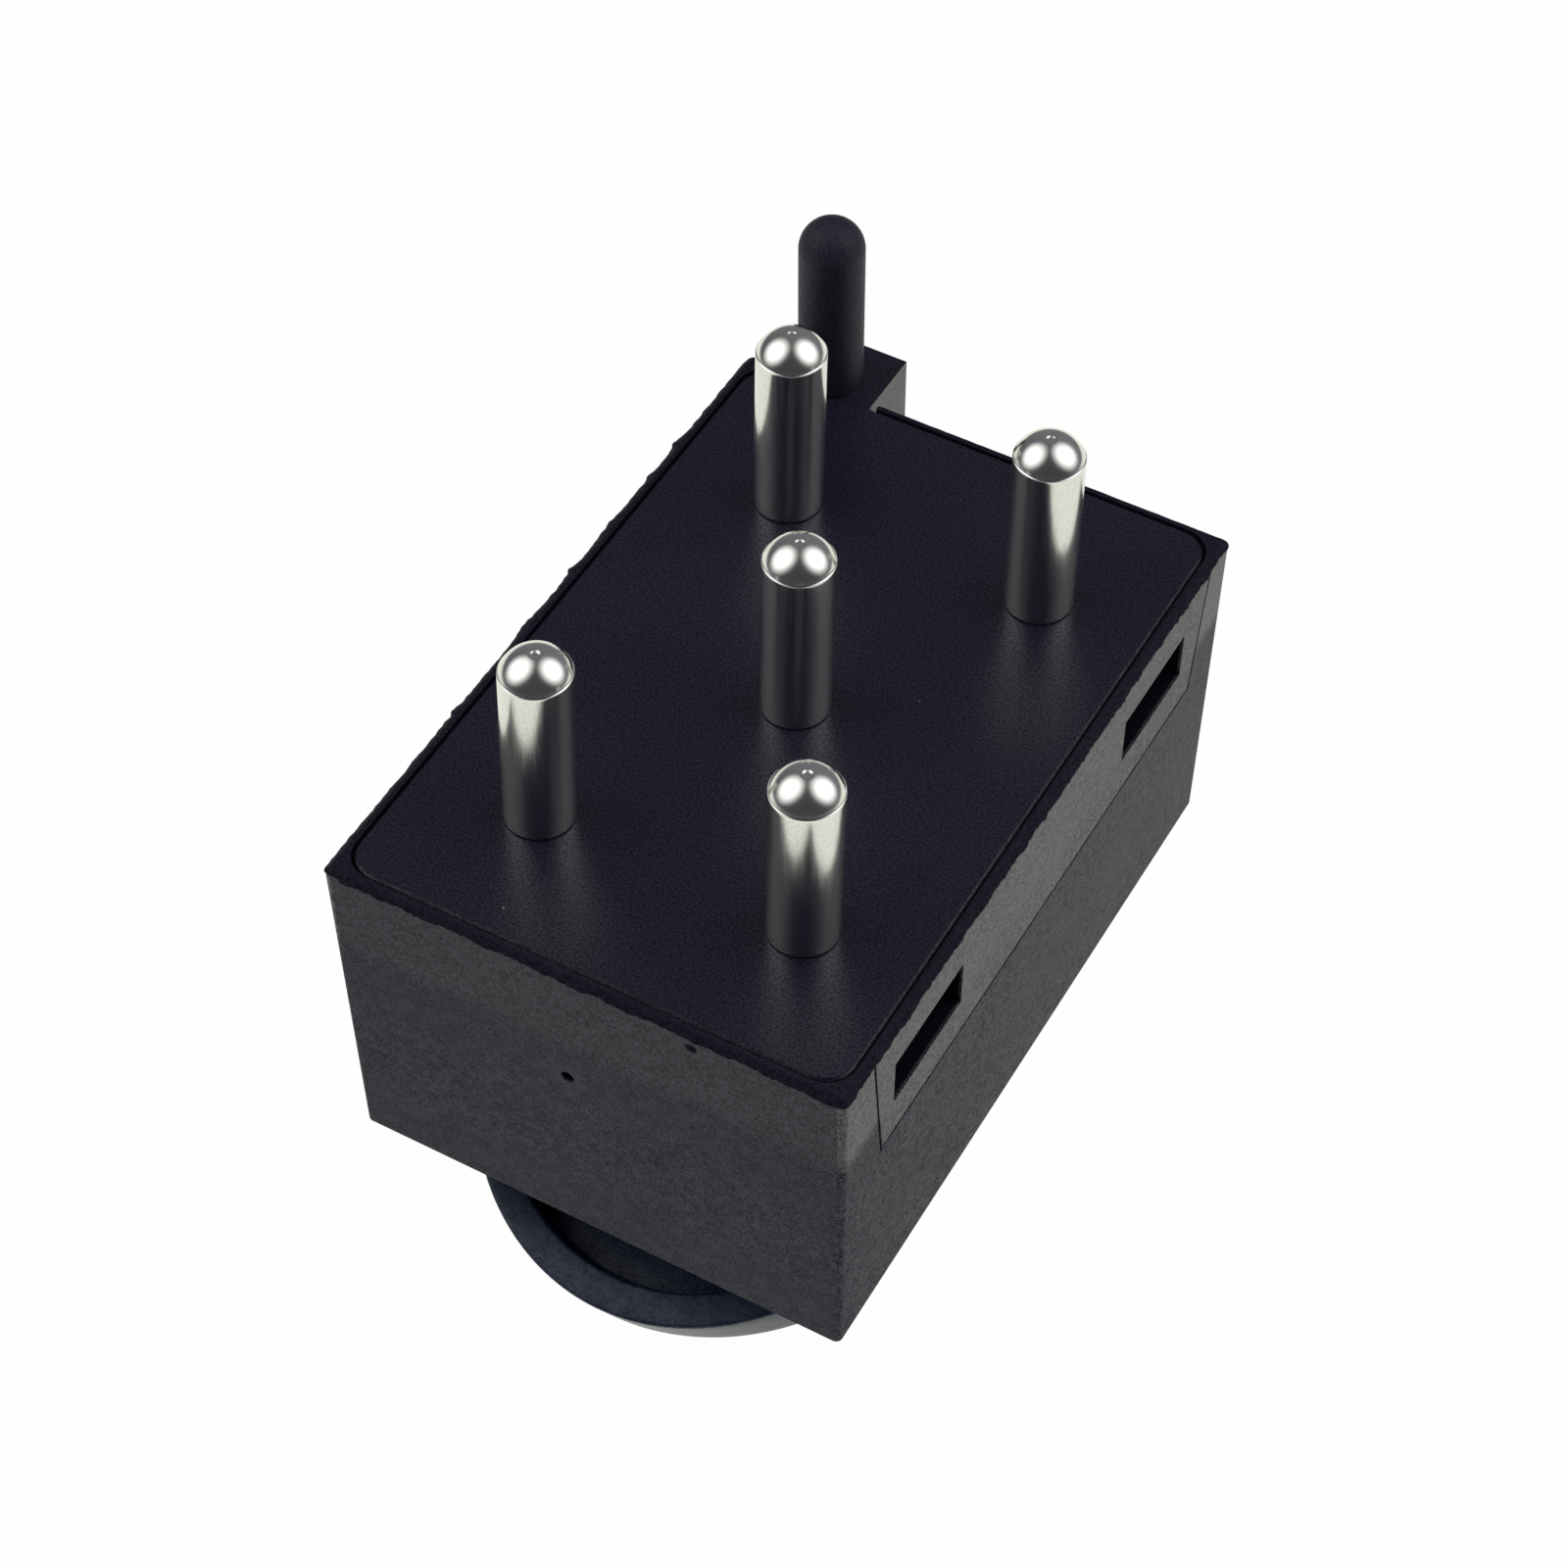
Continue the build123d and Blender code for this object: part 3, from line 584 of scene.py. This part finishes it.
# Sizes of the pieces; their lengths are in millimetres
PIN_ROWS, KNOB_ROWS = 0.8, 0.9          # the longest step between two rows of points
CAP_BEND = 0.24                         # angle up to which a dome's rows lie close together
FOOT_INNER = 1.55                       # where the foot's underside meets the shank
SHANK_HALF, SHANK_CHAMFER, SHANK_POWER = 1.3, 0.15, 14.0
STEM_SEAT = 1.4                         # how deep the lever's stem sits in the knob's boss
BOSS_LONG, BOSS_WIDE, BOSS_POWER = 3.8, 2.7, 7.0
SOCKET_MOUTH, SOCKET_LONG = 2.6, 2.55   # half the length of the boss's socket, top and bottom
SOCKET_NARROW = 0.7                     # how much less its half width is
CORNER_POWER = 70                       # how sharp the knob's corners are; see capped
COIL_SIDES, COIL_STEPS = 14, 40         # points round the wire, and rings to a turn
COIL_EASE = 0.75                        # how level a spring's end turns lie, up to 1
COIL_GROUND = 0.6                       # height of the first ring's middle, in wire radii
CASE_CORNER = 0.4                       # radius of the housing's upright corners
NOTCH_LEFT, NOTCH_RIGHT = -14.3, -7.15  # where the lip is cut away for the ear
FLASH_SIDES, FLASH_SEED = 16, 11
# Place along Y and width of each lump of flash on the left side
FLASH_LUMPS = ((-2.05, 0.8), (2.65, 0.6), (6.95, 0.9), (11.4, 0.35), (14.6, 0.5), (-9.3, 0.4))
# How far each tip stands off from its foot along X and Y: such pins are never quite upright
PIN_LEAN = {"centre": (0.16, 0.16), "front_left": (0.34, 0.19), "front_right": (0.21, -0.02),
            "rear_left": (0.05, 0.35), "rear_right": (0.04, 0.02)}


def rounded(corners, cut, steps):
    """Corners of a profile, rounded.  Each inner corner C gives way to a quadratic curve
    (1 - s)^2 A + 2 s (1 - s) C + s^2 B, where A and B lie on its two sides, a cut away from it.
    A cut of nought keeps the corner as one point."""
    corners, cut = np.asarray(corners, float), np.asarray(cut, float)
    inner = corners[1:-1]
    to_last, to_next = corners[:-2] - inner, corners[2:] - inner
    to_last /= np.linalg.norm(to_last, axis=1, keepdims=True)
    to_next /= np.linalg.norm(to_next, axis=1, keepdims=True)
    start, end = inner + to_last * cut[:, None], inner + to_next * cut[:, None]
    s = np.linspace(0, 1, steps)[None, :, None]
    curves = ((1 - s) ** 2 * start[:, None] + 2 * s * (1 - s) * inner[:, None]
              + s ** 2 * end[:, None])
    points = np.concatenate([corners[:1], curves.reshape(-1, corners.shape[1]), corners[-1:]])
    keep = np.r_[True, np.linalg.norm(np.diff(points, axis=0), axis=1) > 1e-9]
    return points[keep]


def refined(rows, spacing):
    """The same rows with more between them on straight lines, so that none is further from the
    next than the spacing."""
    gaps = np.linalg.norm(np.diff(rows[:, :4], axis=0), axis=1)
    parts = np.maximum(np.ceil(gaps / spacing).astype(int), 1)
    at = np.concatenate([[0.0], np.cumsum(np.repeat(1 / parts, parts))])
    return np.stack([np.interp(at, np.arange(len(rows)), column) for column in rows.T], axis=1)


def circle(sides):
    """Cosines and sines of so many angles round a circle."""
    angle = np.linspace(0, 2 * np.pi, sides, endpoint=False)
    return np.cos(angle), np.sin(angle)


def skin(name, rings, material):
    """Mesh object over a grid of points: rings, points round each ring, and three coordinates.
    The rings close on themselves, and the first and the last are drawn to their middle points.
    The faces are turned outwards by the sign of the volume that they enclose."""
    count, sides = rings.shape[:2]
    points = np.concatenate([rings.reshape(-1, 3), rings[[0, -1]].mean(axis=1)])
    row, side = np.meshgrid(np.arange(count - 1), np.arange(sides), indexing="ij")
    after = (side + 1) % sides
    quads = np.stack([row * sides + side, row * sides + after, (row + 1) * sides + after,
                      (row + 1) * sides + side], axis=-1).reshape(-1, 4)
    ring, after, tip = side[0], after[0], np.full(sides, count * sides)
    last = (count - 1) * sides
    fans = np.concatenate([np.stack([tip, after, ring], axis=-1),
                           np.stack([last + ring, last + after, tip + 1], axis=-1)])
    triangles = np.concatenate([quads[:, [0, 1, 2]], quads[:, [0, 2, 3]], fans])
    a, b, c = points[triangles].swapaxes(0, 1)
    if np.einsum("ij,ij->i", a, np.cross(b, c)).sum() < 0:
        quads, fans = quads[:, ::-1], fans[:, ::-1]
    mesh = bpy.data.meshes.new(name)
    mesh.from_pydata(points * MM, [], quads.tolist() + fans.tolist())
    mesh.polygons.foreach_set("use_smooth", np.ones(len(mesh.polygons), bool))
    mesh.materials.append(material)
    mesh.update()
    piece = bpy.data.objects.new(name, mesh)
    bpy.context.scene.collection.objects.link(piece)
    return piece


def oval(a, b, power, sides):
    """Points round a flat oval, as x and y for every row: the distance from the middle at each
    angle is (|cos / a|^p + |sin / b|^p)^(-1 / p), so p = 2 is an ellipse and a large p a
    rectangle with round corners."""
    cos, sin = circle(sides)
    a, b, power = (np.asarray(v, float)[:, None] for v in (a, b, power))
    away = (np.abs(cos / a) ** power + np.abs(sin / b) ** power) ** (-1 / power)
    return away * cos, away * sin


def capped(round_at, flat_at, sides):
    """Points round a disc with two flat sides, as x and y for every row.  At each angle the
    distance from the middle is ((|cos| / flat)^p + (1 / radius)^p)^(-1 / p), which for a large p
    is the lesser of the circle's radius and the flat's distance, with a small round corner."""
    cos, sin = circle(sides)
    flat = (np.abs(cos) / flat_at[:, None]) ** CORNER_POWER
    away = (flat + (1 / round_at[:, None]) ** CORNER_POWER) ** (-1 / CORNER_POWER)
    return away * cos, away * sin


def pin_skin(name, node, sizes, lean, material):
    """A turned pin on its square shank.  Down from the tip the outline follows a ball's cap,
    dented in the middle by depth * exp(-(r / radius)^4), then a rounded edge, the shaft and a
    chamfered foot; the shank's rows are squares with rounded corners.  Above the foot every row
    is moved sideways by its share of the lean."""
    low, high = box_mm(node)
    middle, radius, top = (low + high) / 2, (high[0] - low[0]) / 2, high[2]
    dome, edge, foot = sizes.dome / MM, sizes.edge / MM, sizes.foot / MM
    ball = (radius ** 2 + dome ** 2) / (2 * dome)
    edge_angle = math.asin((radius - edge) / ball)
    angle = np.r_[np.linspace(0, CAP_BEND, 14)[1:], np.linspace(CAP_BEND, edge_angle, 22)[1:]]
    r = ball * np.sin(angle)
    dent = sizes.dimple_depth / MM * np.exp(-(r * MM / sizes.dimple_radius) ** 4)
    cap = np.stack([r, top - ball + ball * np.cos(angle) - dent], axis=1)
    side = rounded([cap[-1], (radius - edge * 0.15, cap[-1, 1] - edge * 0.55),
                    (radius, cap[-1, 1] - edge * 2.2), (radius, foot), (radius - foot, 0.0),
                    (FOOT_INNER, 0.0)],
                   (edge * 0.4, edge * 0.8, foot * 0.3, foot * 0.3), 4)[1:]
    r, level = np.concatenate([cap, side]).T
    turned = np.column_stack([r, r, np.full(len(r), 2.0), level])
    half, end = SHANK_HALF, low[2]
    chamfered = half - SHANK_CHAMFER
    shank = np.array([(half, half, SHANK_POWER, 0.0),
                      (half, half, SHANK_POWER, end + SHANK_CHAMFER),
                      (chamfered, chamfered, 10.0, end), (0.25, 0.25, 4.0, end)])
    rows = np.concatenate([refined(turned, PIN_ROWS), shank])
    x, y = oval(rows[:, 0], rows[:, 1], rows[:, 2], sizes.sides)
    z = np.broadcast_to(rows[:, 3:4], x.shape)
    share = np.clip(z / top, 0, 1)
    piece = skin(name, np.stack([x + middle[0] + share * lean[0], y + middle[1] + share * lean[1],
                                 z], axis=-1), material)
    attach(piece, "case")
    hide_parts(node)


def knob_skin(name, sizes, material):
    """The knob, from the middle of its face, over the edge, up the wall, over the rim and down
    into the hollow back, then up the boss and down its socket.  A row is an outline at a depth
    below the bent back: at the distance v from the bend's axis the back lies at sqrt(R^2 - v^2),
    and depth runs square to it."""
    low, high = box_mm("rocker_knob")
    lever_low = box_mm("rocker_lever")[0]
    axle_low, axle_high = box_mm("rocker_axle")
    x0, y0 = (low[0] + high[0]) / 2, (axle_low[1] + axle_high[1]) / 2
    radius, flat, rim = sizes.radius / MM, sizes.flat / MM, sizes.rim / MM
    thick, skin_mm, bend = sizes.thickness / MM, sizes.skin / MM, sizes.bend / MM
    face_cut, rim_cut = sizes.face_edge / MM, sizes.rim_edge / MM
    back = lever_low[2] + STEM_SEAT
    boss_top = back - high[2]
    floor, inner = thick - skin_mm, radius - rim
    r, wall_depth = refined(rounded([(0.35, thick), (radius, thick), (radius, 0.0), (inner, 0.0),
                                     (inner, floor), (BOSS_LONG + 1.2, floor)],
                                    (face_cut, rim_cut, rim_cut, 0.35), 6), KNOB_ROWS).T
    boss = rounded([(BOSS_LONG + 0.5, floor), (BOSS_LONG, floor), (BOSS_LONG, boss_top),
                    (SOCKET_MOUTH, boss_top), (SOCKET_LONG, STEM_SEAT), (0.3, STEM_SEAT)],
                   (0.3, 0.15, 0.1, 0.1), 5)
    reach, level = boss.T
    # how much less than its length the width of each outline is
    narrow = np.interp(reach, (SOCKET_MOUTH, BOSS_LONG), (SOCKET_NARROW, BOSS_LONG - BOSS_WIDE))
    narrow = np.where(reach < SOCKET_LONG - 0.05, SOCKET_NARROW * reach / SOCKET_LONG, narrow)
    boss = refined(np.column_stack([reach, reach - narrow, np.full(len(reach), BOSS_POWER),
                                    level]), KNOB_ROWS)
    # the flats run parallel to the wall's foot and shrink with the radius inside the hollow
    flat_at = np.where(r > inner, flat - radius + r, r * (flat - rim) / inner)
    x, y = (np.concatenate(pair) for pair in zip(capped(r, flat_at, sizes.sides),
                                                 oval(*boss[:, :3].T, sizes.sides)))
    depth = np.concatenate([wall_depth, boss[:, 3]])[:, None]
    bent = np.concatenate([np.ones(len(r)), np.zeros(len(boss))])[:, None]
    lean = np.clip(y / bend, -1, 1)
    upright = np.sqrt(1 - lean ** 2)
    y = y - bent * lean * depth
    z = back - depth + bent * (bend - depth) * (upright - 1)
    piece = skin(name, np.stack([x + x0, y + y0, z], axis=-1), material)
    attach(piece, "rocker")
    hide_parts("rocker_knob")


def coil_skin(name, node, wire, turns, material):
    """A compression spring of round wire.  The axis rises along a helix whose climb is
    s - ease * sin(2 pi s) / (2 pi) over its length, so that the end turns lie close; the tube's
    circles stand square to it, and the ends are ground flat.  Gives the piece and the middles of
    its two ends."""
    low, high = box_mm(node)
    middle = (low + high) / 2
    wire = wire / MM
    coil = (high[0] - low[0]) / 2 - wire
    foot, top = low[2], high[2]
    s = np.linspace(0, 1, int(turns * COIL_STEPS))
    climb = s - COIL_EASE * np.sin(2 * np.pi * s) / (2 * np.pi)
    turn = 2 * np.pi * turns * s
    start = foot + COIL_GROUND * wire
    path = np.stack([coil * np.cos(turn), coil * np.sin(turn),
                     start + (top - foot - 2 * COIL_GROUND * wire) * climb], axis=1)
    along = np.gradient(path, axis=0)
    along /= np.linalg.norm(along, axis=1, keepdims=True)
    out = np.stack([np.cos(turn), np.sin(turn), np.zeros_like(turn)], axis=1)
    side = np.cross(along, out)
    cos, sin = circle(COIL_SIDES)
    rings = path[:, None] + wire * (cos[:, None] * out[:, None] + sin[:, None] * side[:, None])
    rings[..., 2] = np.clip(rings[..., 2], foot, top)
    rings[..., :2] += middle[:2]
    piece = skin(name, rings, material)
    return piece, (middle[0], middle[1], foot), (middle[0], middle[1], top)


def rim_flash(name, sizes, material):
    """The flash on the rim's bevel: a flat oval section carried round a rectangle with rounded
    corners, from one end of the notch to the other.  Its lower edge wanders with seeded noise,
    and on the left side its outer half stands out in lumps of
    height * exp(-(distance / width)^2)."""
    low, high = HOUSING_LOW, HOUSING_HIGH
    bevel, thick = sizes.bevel / MM, sizes.thickness / MM
    corner = CASE_CORNER - bevel / 2
    half_x, half_y = ((high - low)[:2] - bevel) / 2 - corner
    # arc lengths of the straight sides and the quarter circles, from the foot of the right side
    arc = corner * np.pi / 2
    runs = np.cumsum([0, 2 * half_y, arc, 2 * half_x, arc, 2 * half_y, arc, 2 * half_x, arc])
    whole = runs[-1]
    at_x = runs[2] + half_x + HOUSING_MIDDLE[0]
    along = np.linspace(at_x - NOTCH_LEFT, whole + at_x - NOTCH_RIGHT, sizes.steps)
    s = along % whole
    turns = np.interp(s, runs, np.pi / 2 * np.array([0, 0, 1, 1, 2, 2, 3, 3, 4]))
    out = np.stack([np.cos(turns), np.sin(turns), np.zeros_like(turns)], axis=1)
    centre_x = np.interp(s, runs, half_x * np.array([1, 1, 1, -1, -1, -1, -1, 1, 1]))
    centre_y = np.interp(s, runs, half_y * np.array([-1, 1, 1, 1, 1, -1, -1, -1, -1]))
    path = np.stack([centre_x, centre_y, np.zeros_like(s)], axis=1) + corner * out
    path += [HOUSING_MIDDLE[0], HOUSING_MIDDLE[1], high[2] - bevel / 2]
    rng = np.random.default_rng(FLASH_SEED)

    def wander(knots):
        """Noise from -1 to 1 through this many seeded knots, closed on itself."""
        values = rng.uniform(-1, 1, knots)
        return np.interp(s, np.linspace(0, whole, knots + 1), np.r_[values, values[:1]])

    left = np.clip((HOUSING_MIDDLE[0] - path[:, 0]) / half_x * 4 - 3, 0, 1)
    lumps = sum(np.exp(-((path[:, 1] - place) / width) ** 2) for place, width in FLASH_LUMPS)
    push = left * (lumps * sizes.bumps / MM * (0.8 + 0.3 * wander(500))
                   + 0.04 * (1 + wander(420)))
    slope = bevel / math.sqrt(2)
    lower = slope + sizes.ragged / MM * (0.35 + 0.5 * wander(240) + 0.35 * wander(700))
    cos, sin = circle(FLASH_SIDES)
    reach = np.where(cos > 0, lower[:, None], slope * 0.9) * cos
    rise = thick * (1 + 0.3 * wander(300))[:, None] * sin
    outwards, upwards = (reach + rise) / math.sqrt(2), (rise - reach) / math.sqrt(2)
    outwards += push[:, None] * (1 + cos) / 2
    rings = path[:, None] + outwards[..., None] * out[:, None]
    rings[..., 2] += upwards
    piece = skin(name, rings, material)
    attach(piece, "case")


# Studio

SENSOR = 36.0                           # width of the camera's sensor, in mm
FLOOR_REACH = 3.0                       # radius of the floor
FLOOR_GAP = 0.0025                      # the ends of the tilted knob dip nearly this far
FLOOR_WHITE = 0.985                     # the rest of what the camera sees there is shaded
SHEET_EDGE, SHEET_END = 230.0, 430.0    # where the white sheet under the part fades, in mm
SOFTBOX_SIZE, SOFTBOX_AWAY = (0.83, 0.92), 0.45
LEFT_SOFTBOX, RIGHT_SOFTBOX = (-0.64, -0.32, 0.70), (0.62, 0.33, 0.71)
WHITE, ROOM_TINT, FAR_FLOOR = (1.0, 1.0, 1.0), (0.94, 0.97, 1.07), (0.13, 0.135, 0.165)


def softbox(name, towards, power):
    """A lamp that fades towards its edges, a short way from the part in this direction."""
    light = bpy.data.lights.new(name, "AREA")
    light.shape, light.size, light.size_y, light.energy = "RECTANGLE", *SOFTBOX_SIZE, power
    f = Finish(light)
    u, v, _ = f.xyz(f.node("ShaderNodeNewGeometry", output="Parametric"))
    middle = ((u - 0.5) ** 2.0 + (v - 0.5) ** 2.0) ** 0.5
    glow = 1.0 - f.step(middle, 0.05, 0.5)
    f.output(f.node("ShaderNodeEmission", None, {"Strength": glow}), "ShaderNodeOutputLight")
    lamp = bpy.data.objects.new(name, light)
    direction = Vector(towards).normalized()
    lamp.location = direction * SOFTBOX_AWAY
    lamp.rotation_euler = direction.to_track_quat("Z", "Y").to_euler()
    bpy.context.scene.collection.objects.link(lamp)


# Operators

class SWITCH_OT_housing(bpy.types.Operator):
    """Finish the housing and lay the ragged flash on its rim"""
    bl_idname = "switch.housing"
    bl_label = "Housing"

    def execute(self, context):
        looks = context.scene.switch_plastic
        dress(housing_finish(looks), "housing")
        rim_flash("rim_flash", context.scene.switch_rim, flash_finish(looks))
        return {"FINISHED"}


class SWITCH_OT_base_plate(bpy.types.Operator):
    """Finish the base plate with its ear, peg and hooks"""
    bl_idname = "switch.base_plate"
    bl_label = "Base Plate"

    def execute(self, context):
        dress(plate_finish(context.scene.switch_plastic), "base_plate")
        return {"FINISHED"}


class SWITCH_OT_pins(bpy.types.Operator):
    """Turn the five terminal pins, each with its dome, centre mark and square shank"""
    bl_idname = "switch.pins"
    bl_label = "Terminal Pins"

    def execute(self, context):
        material = nickel_finish(context.scene.switch_metal)
        for place, lean in PIN_LEAN.items():
            pin_skin(f"turned_pin_{place}", f"terminal_pin_{place}", context.scene.switch_pins,
                     lean, material)
        return {"FINISHED"}


class SWITCH_OT_knob(bpy.types.Operator):
    """Mould the rocker knob with its rounded edges and hollow back, and finish its lever"""
    bl_idname = "switch.knob"
    bl_label = "Rocker Knob"

    def execute(self, context):
        material = knob_finish(context.scene.switch_plastic)
        knob_skin("moulded_knob", context.scene.switch_knob, material)
        dress(material, "rocker_lever")
        return {"FINISHED"}


class SWITCH_OT_springs(bpy.types.Operator):
    """Wind the two return springs and the two contact springs"""
    bl_idname = "switch.springs"
    bl_label = "Springs"

    def execute(self, context):
        sizes = context.scene.switch_springs
        material = steel_finish(context.scene.switch_metal)
        for place in ("front", "rear"):
            node = f"return_spring_{place}"
            piece, foot, top = coil_skin(f"wound_{node}", node, sizes.return_wire,
                                         sizes.return_turns, material)
            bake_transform(piece)
            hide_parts(node)
        for place in ("left", "right"):
            node = f"contact_spring_{place}"
            piece, _, _ = coil_skin(f"wound_{node}", node, sizes.contact_wire,
                                    sizes.contact_turns, material)
            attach(piece, "carriage")
            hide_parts(node)
        dress(material, "rocker_axle")
        return {"FINISHED"}


class SWITCH_OT_contacts(bpy.types.Operator):
    """Finish the brass strips and bridges and the silver contact points"""
    bl_idname = "switch.contacts"
    bl_label = "Contacts"

    def execute(self, context):
        looks = context.scene.switch_metal
        dress(brass_finish(looks), "supply_strip", "motor_strip_left", "motor_strip_right",
              "ground_strip_left", "ground_strip_right", "contact_bridge_left",
              "contact_bridge_right")
        dress(silver_finish(looks), "contact_points_left", "contact_points_right")
        return {"FINISHED"}


class SWITCH_OT_mechanism(bpy.types.Operator):
    """Finish the nylon guide frame, carriage and plungers"""
    bl_idname = "switch.mechanism"
    bl_label = "Mechanism"

    def execute(self, context):
        dress(nylon_finish(context.scene.switch_plastic), "guide_frame", "contact_carriage",
              "return_plunger_front", "return_plunger_rear")
        return {"FINISHED"}


class SWITCH_OT_studio(bpy.types.Operator):
    """Set the camera, the plain pale floor, the two softboxes and the light of the room"""
    bl_idname = "switch.studio"
    bl_label = "Studio"

    def execute(self, context):
        looks = context.scene.switch_studio
        camera = bpy.data.cameras.new("product_camera")
        camera.lens, camera.sensor_width = looks.lens, SENSOR
        camera.shift_x, camera.shift_y = looks.shift
        camera.clip_start, camera.clip_end = 0.01, 20.0
        stand = bpy.data.objects.new("product_camera", camera)
        turn = (Matrix.Rotation(looks.camera_azimuth, 4, "Z")
                @ Matrix.Rotation(math.pi / 2 - looks.camera_elevation, 4, "X")
                @ Matrix.Rotation(looks.camera_roll, 4, "Z"))
        stand.matrix_world = Matrix.Translation(looks.camera_place) @ turn
        context.scene.collection.objects.link(stand)
        context.scene.camera = stand
        softbox("left_softbox", LEFT_SOFTBOX, looks.left_lamp)
        softbox("right_softbox", RIGHT_SOFTBOX, looks.right_lamp)
        self.room(context, looks)
        self.floor(context, looks)
        context.scene.view_settings.view_transform = "Standard"
        return {"FINISHED"}

    @staticmethod
    def room(context, looks):
        """The world: dim grey light on the part, more of it from behind, and plain white where
        the camera sees it."""
        world = bpy.data.worlds.new("room")
        context.scene.world = world
        f = Finish(world)
        seen = f.node("ShaderNodeLightPath", output="Is Camera Ray")
        y = f.xyz(f.node("ShaderNodeTexCoord", output="Generated"))[1]
        strength = looks.room + f.step(y, -0.3, 0.9) * looks.wall
        strength = strength + seen * (1.0 - strength)
        tint = f.blend(seen, ROOM_TINT, WHITE)
        f.output(f.node("ShaderNodeBackground", None, {"Color": tint, "Strength": strength}),
                 "ShaderNodeOutputWorld")

    @staticmethod
    def floor(context, looks):
        """A round floor under the knob.  It shows plain white with a soft trace of the shadow,
        and in reflections only near the part; from below it is clear, so that the user's side
        can be looked at."""
        cos, sin = circle(96)
        edge = np.stack([FLOOR_REACH * cos, FLOOR_REACH * sin,
                         np.full(len(cos), solid_box[0][2] - FLOOR_GAP)], axis=-1)
        f = new_finish("pale_floor")
        at = f.at_mm()
        x, y, _ = f.xyz(at)
        cloud = f.noise(at, 0.02, 2.0)
        pale = f.blend(cloud, *shades(looks.floor, 0.98, 1.0))
        matt = f.node("ShaderNodeBsdfDiffuse", None, {"Color": pale})
        camera, glossy, through = (f.node("ShaderNodeLightPath", output=kind) for kind in
                                   ("Is Camera Ray", "Is Glossy Ray", "Is Transmission Ray"))
        far = f.step((x ** 2.0 + y ** 2.0) ** 0.5, SHEET_EDGE, SHEET_END)
        mirrored = f.blend(far, looks.sheet, FAR_FLOOR)
        white = f.node("ShaderNodeEmission", None,
                       {"Color": f.blend(camera, mirrored, WHITE), "Strength": 1.0})
        seen = f.node("ShaderNodeMath", {"operation": "MAXIMUM"},
                      {0: camera, 1: glossy + through})
        shown = f.mixed(seen * FLOOR_WHITE, matt, white)
        clear = f.node("ShaderNodeBsdfTransparent")
        f.output(f.mixed(f.node("ShaderNodeNewGeometry", output="Backfacing"), shown, clear))
        mesh = bpy.data.meshes.new("floor")
        mesh.from_pydata(edge, [], [tuple(range(len(edge)))])
        mesh.materials.append(f.owner)
        floor = bpy.data.objects.new("floor", mesh)
        context.scene.collection.objects.link(floor)


class SWITCH_PT_panel(bpy.types.Panel):
    """Buttons and sizes of the window switch"""
    bl_idname = "SWITCH_PT_panel"
    bl_label = "Power Window Switch"
    bl_space_type = "VIEW_3D"
    bl_region_type = "UI"
    bl_category = "Window Switch"

    def draw(self, context):
        for operator in OPERATORS:
            self.layout.operator(operator.bl_idname)
        for name, group in GROUPS.items():
            box = self.layout.box()
            for key in group.__annotations__:
                box.prop(getattr(context.scene, name), key)


OPERATORS = (SWITCH_OT_studio, SWITCH_OT_housing, SWITCH_OT_base_plate, SWITCH_OT_pins,
             SWITCH_OT_knob, SWITCH_OT_springs, SWITCH_OT_contacts, SWITCH_OT_mechanism)
GROUPS = {"switch_plastic": PlasticLooks, "switch_metal": MetalLooks, "switch_pins": PinSizes,
          "switch_knob": KnobSizes, "switch_springs": SpringSizes, "switch_rim": RimSizes,
          "switch_studio": StudioLooks}


def register():
    for made in (*GROUPS.values(), *OPERATORS, SWITCH_PT_panel):
        bpy.utils.register_class(made)
    for name, group in GROUPS.items():
        setattr(bpy.types.Scene, name, PointerProperty(type=group))


def unregister():
    for name in GROUPS:
        delattr(bpy.types.Scene, name)
    for made in (SWITCH_PT_panel, *reversed(OPERATORS), *reversed(list(GROUPS.values()))):
        bpy.utils.unregister_class(made)


def main():
    """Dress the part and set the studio."""
    register()
    for name in ("studio", "housing", "base_plate", "pins", "knob", "springs", "contacts",
                 "mechanism"):
        getattr(bpy.ops.switch, name)()
    bpy.context.view_layer.update()


if __name__ == "__main__":
    main()
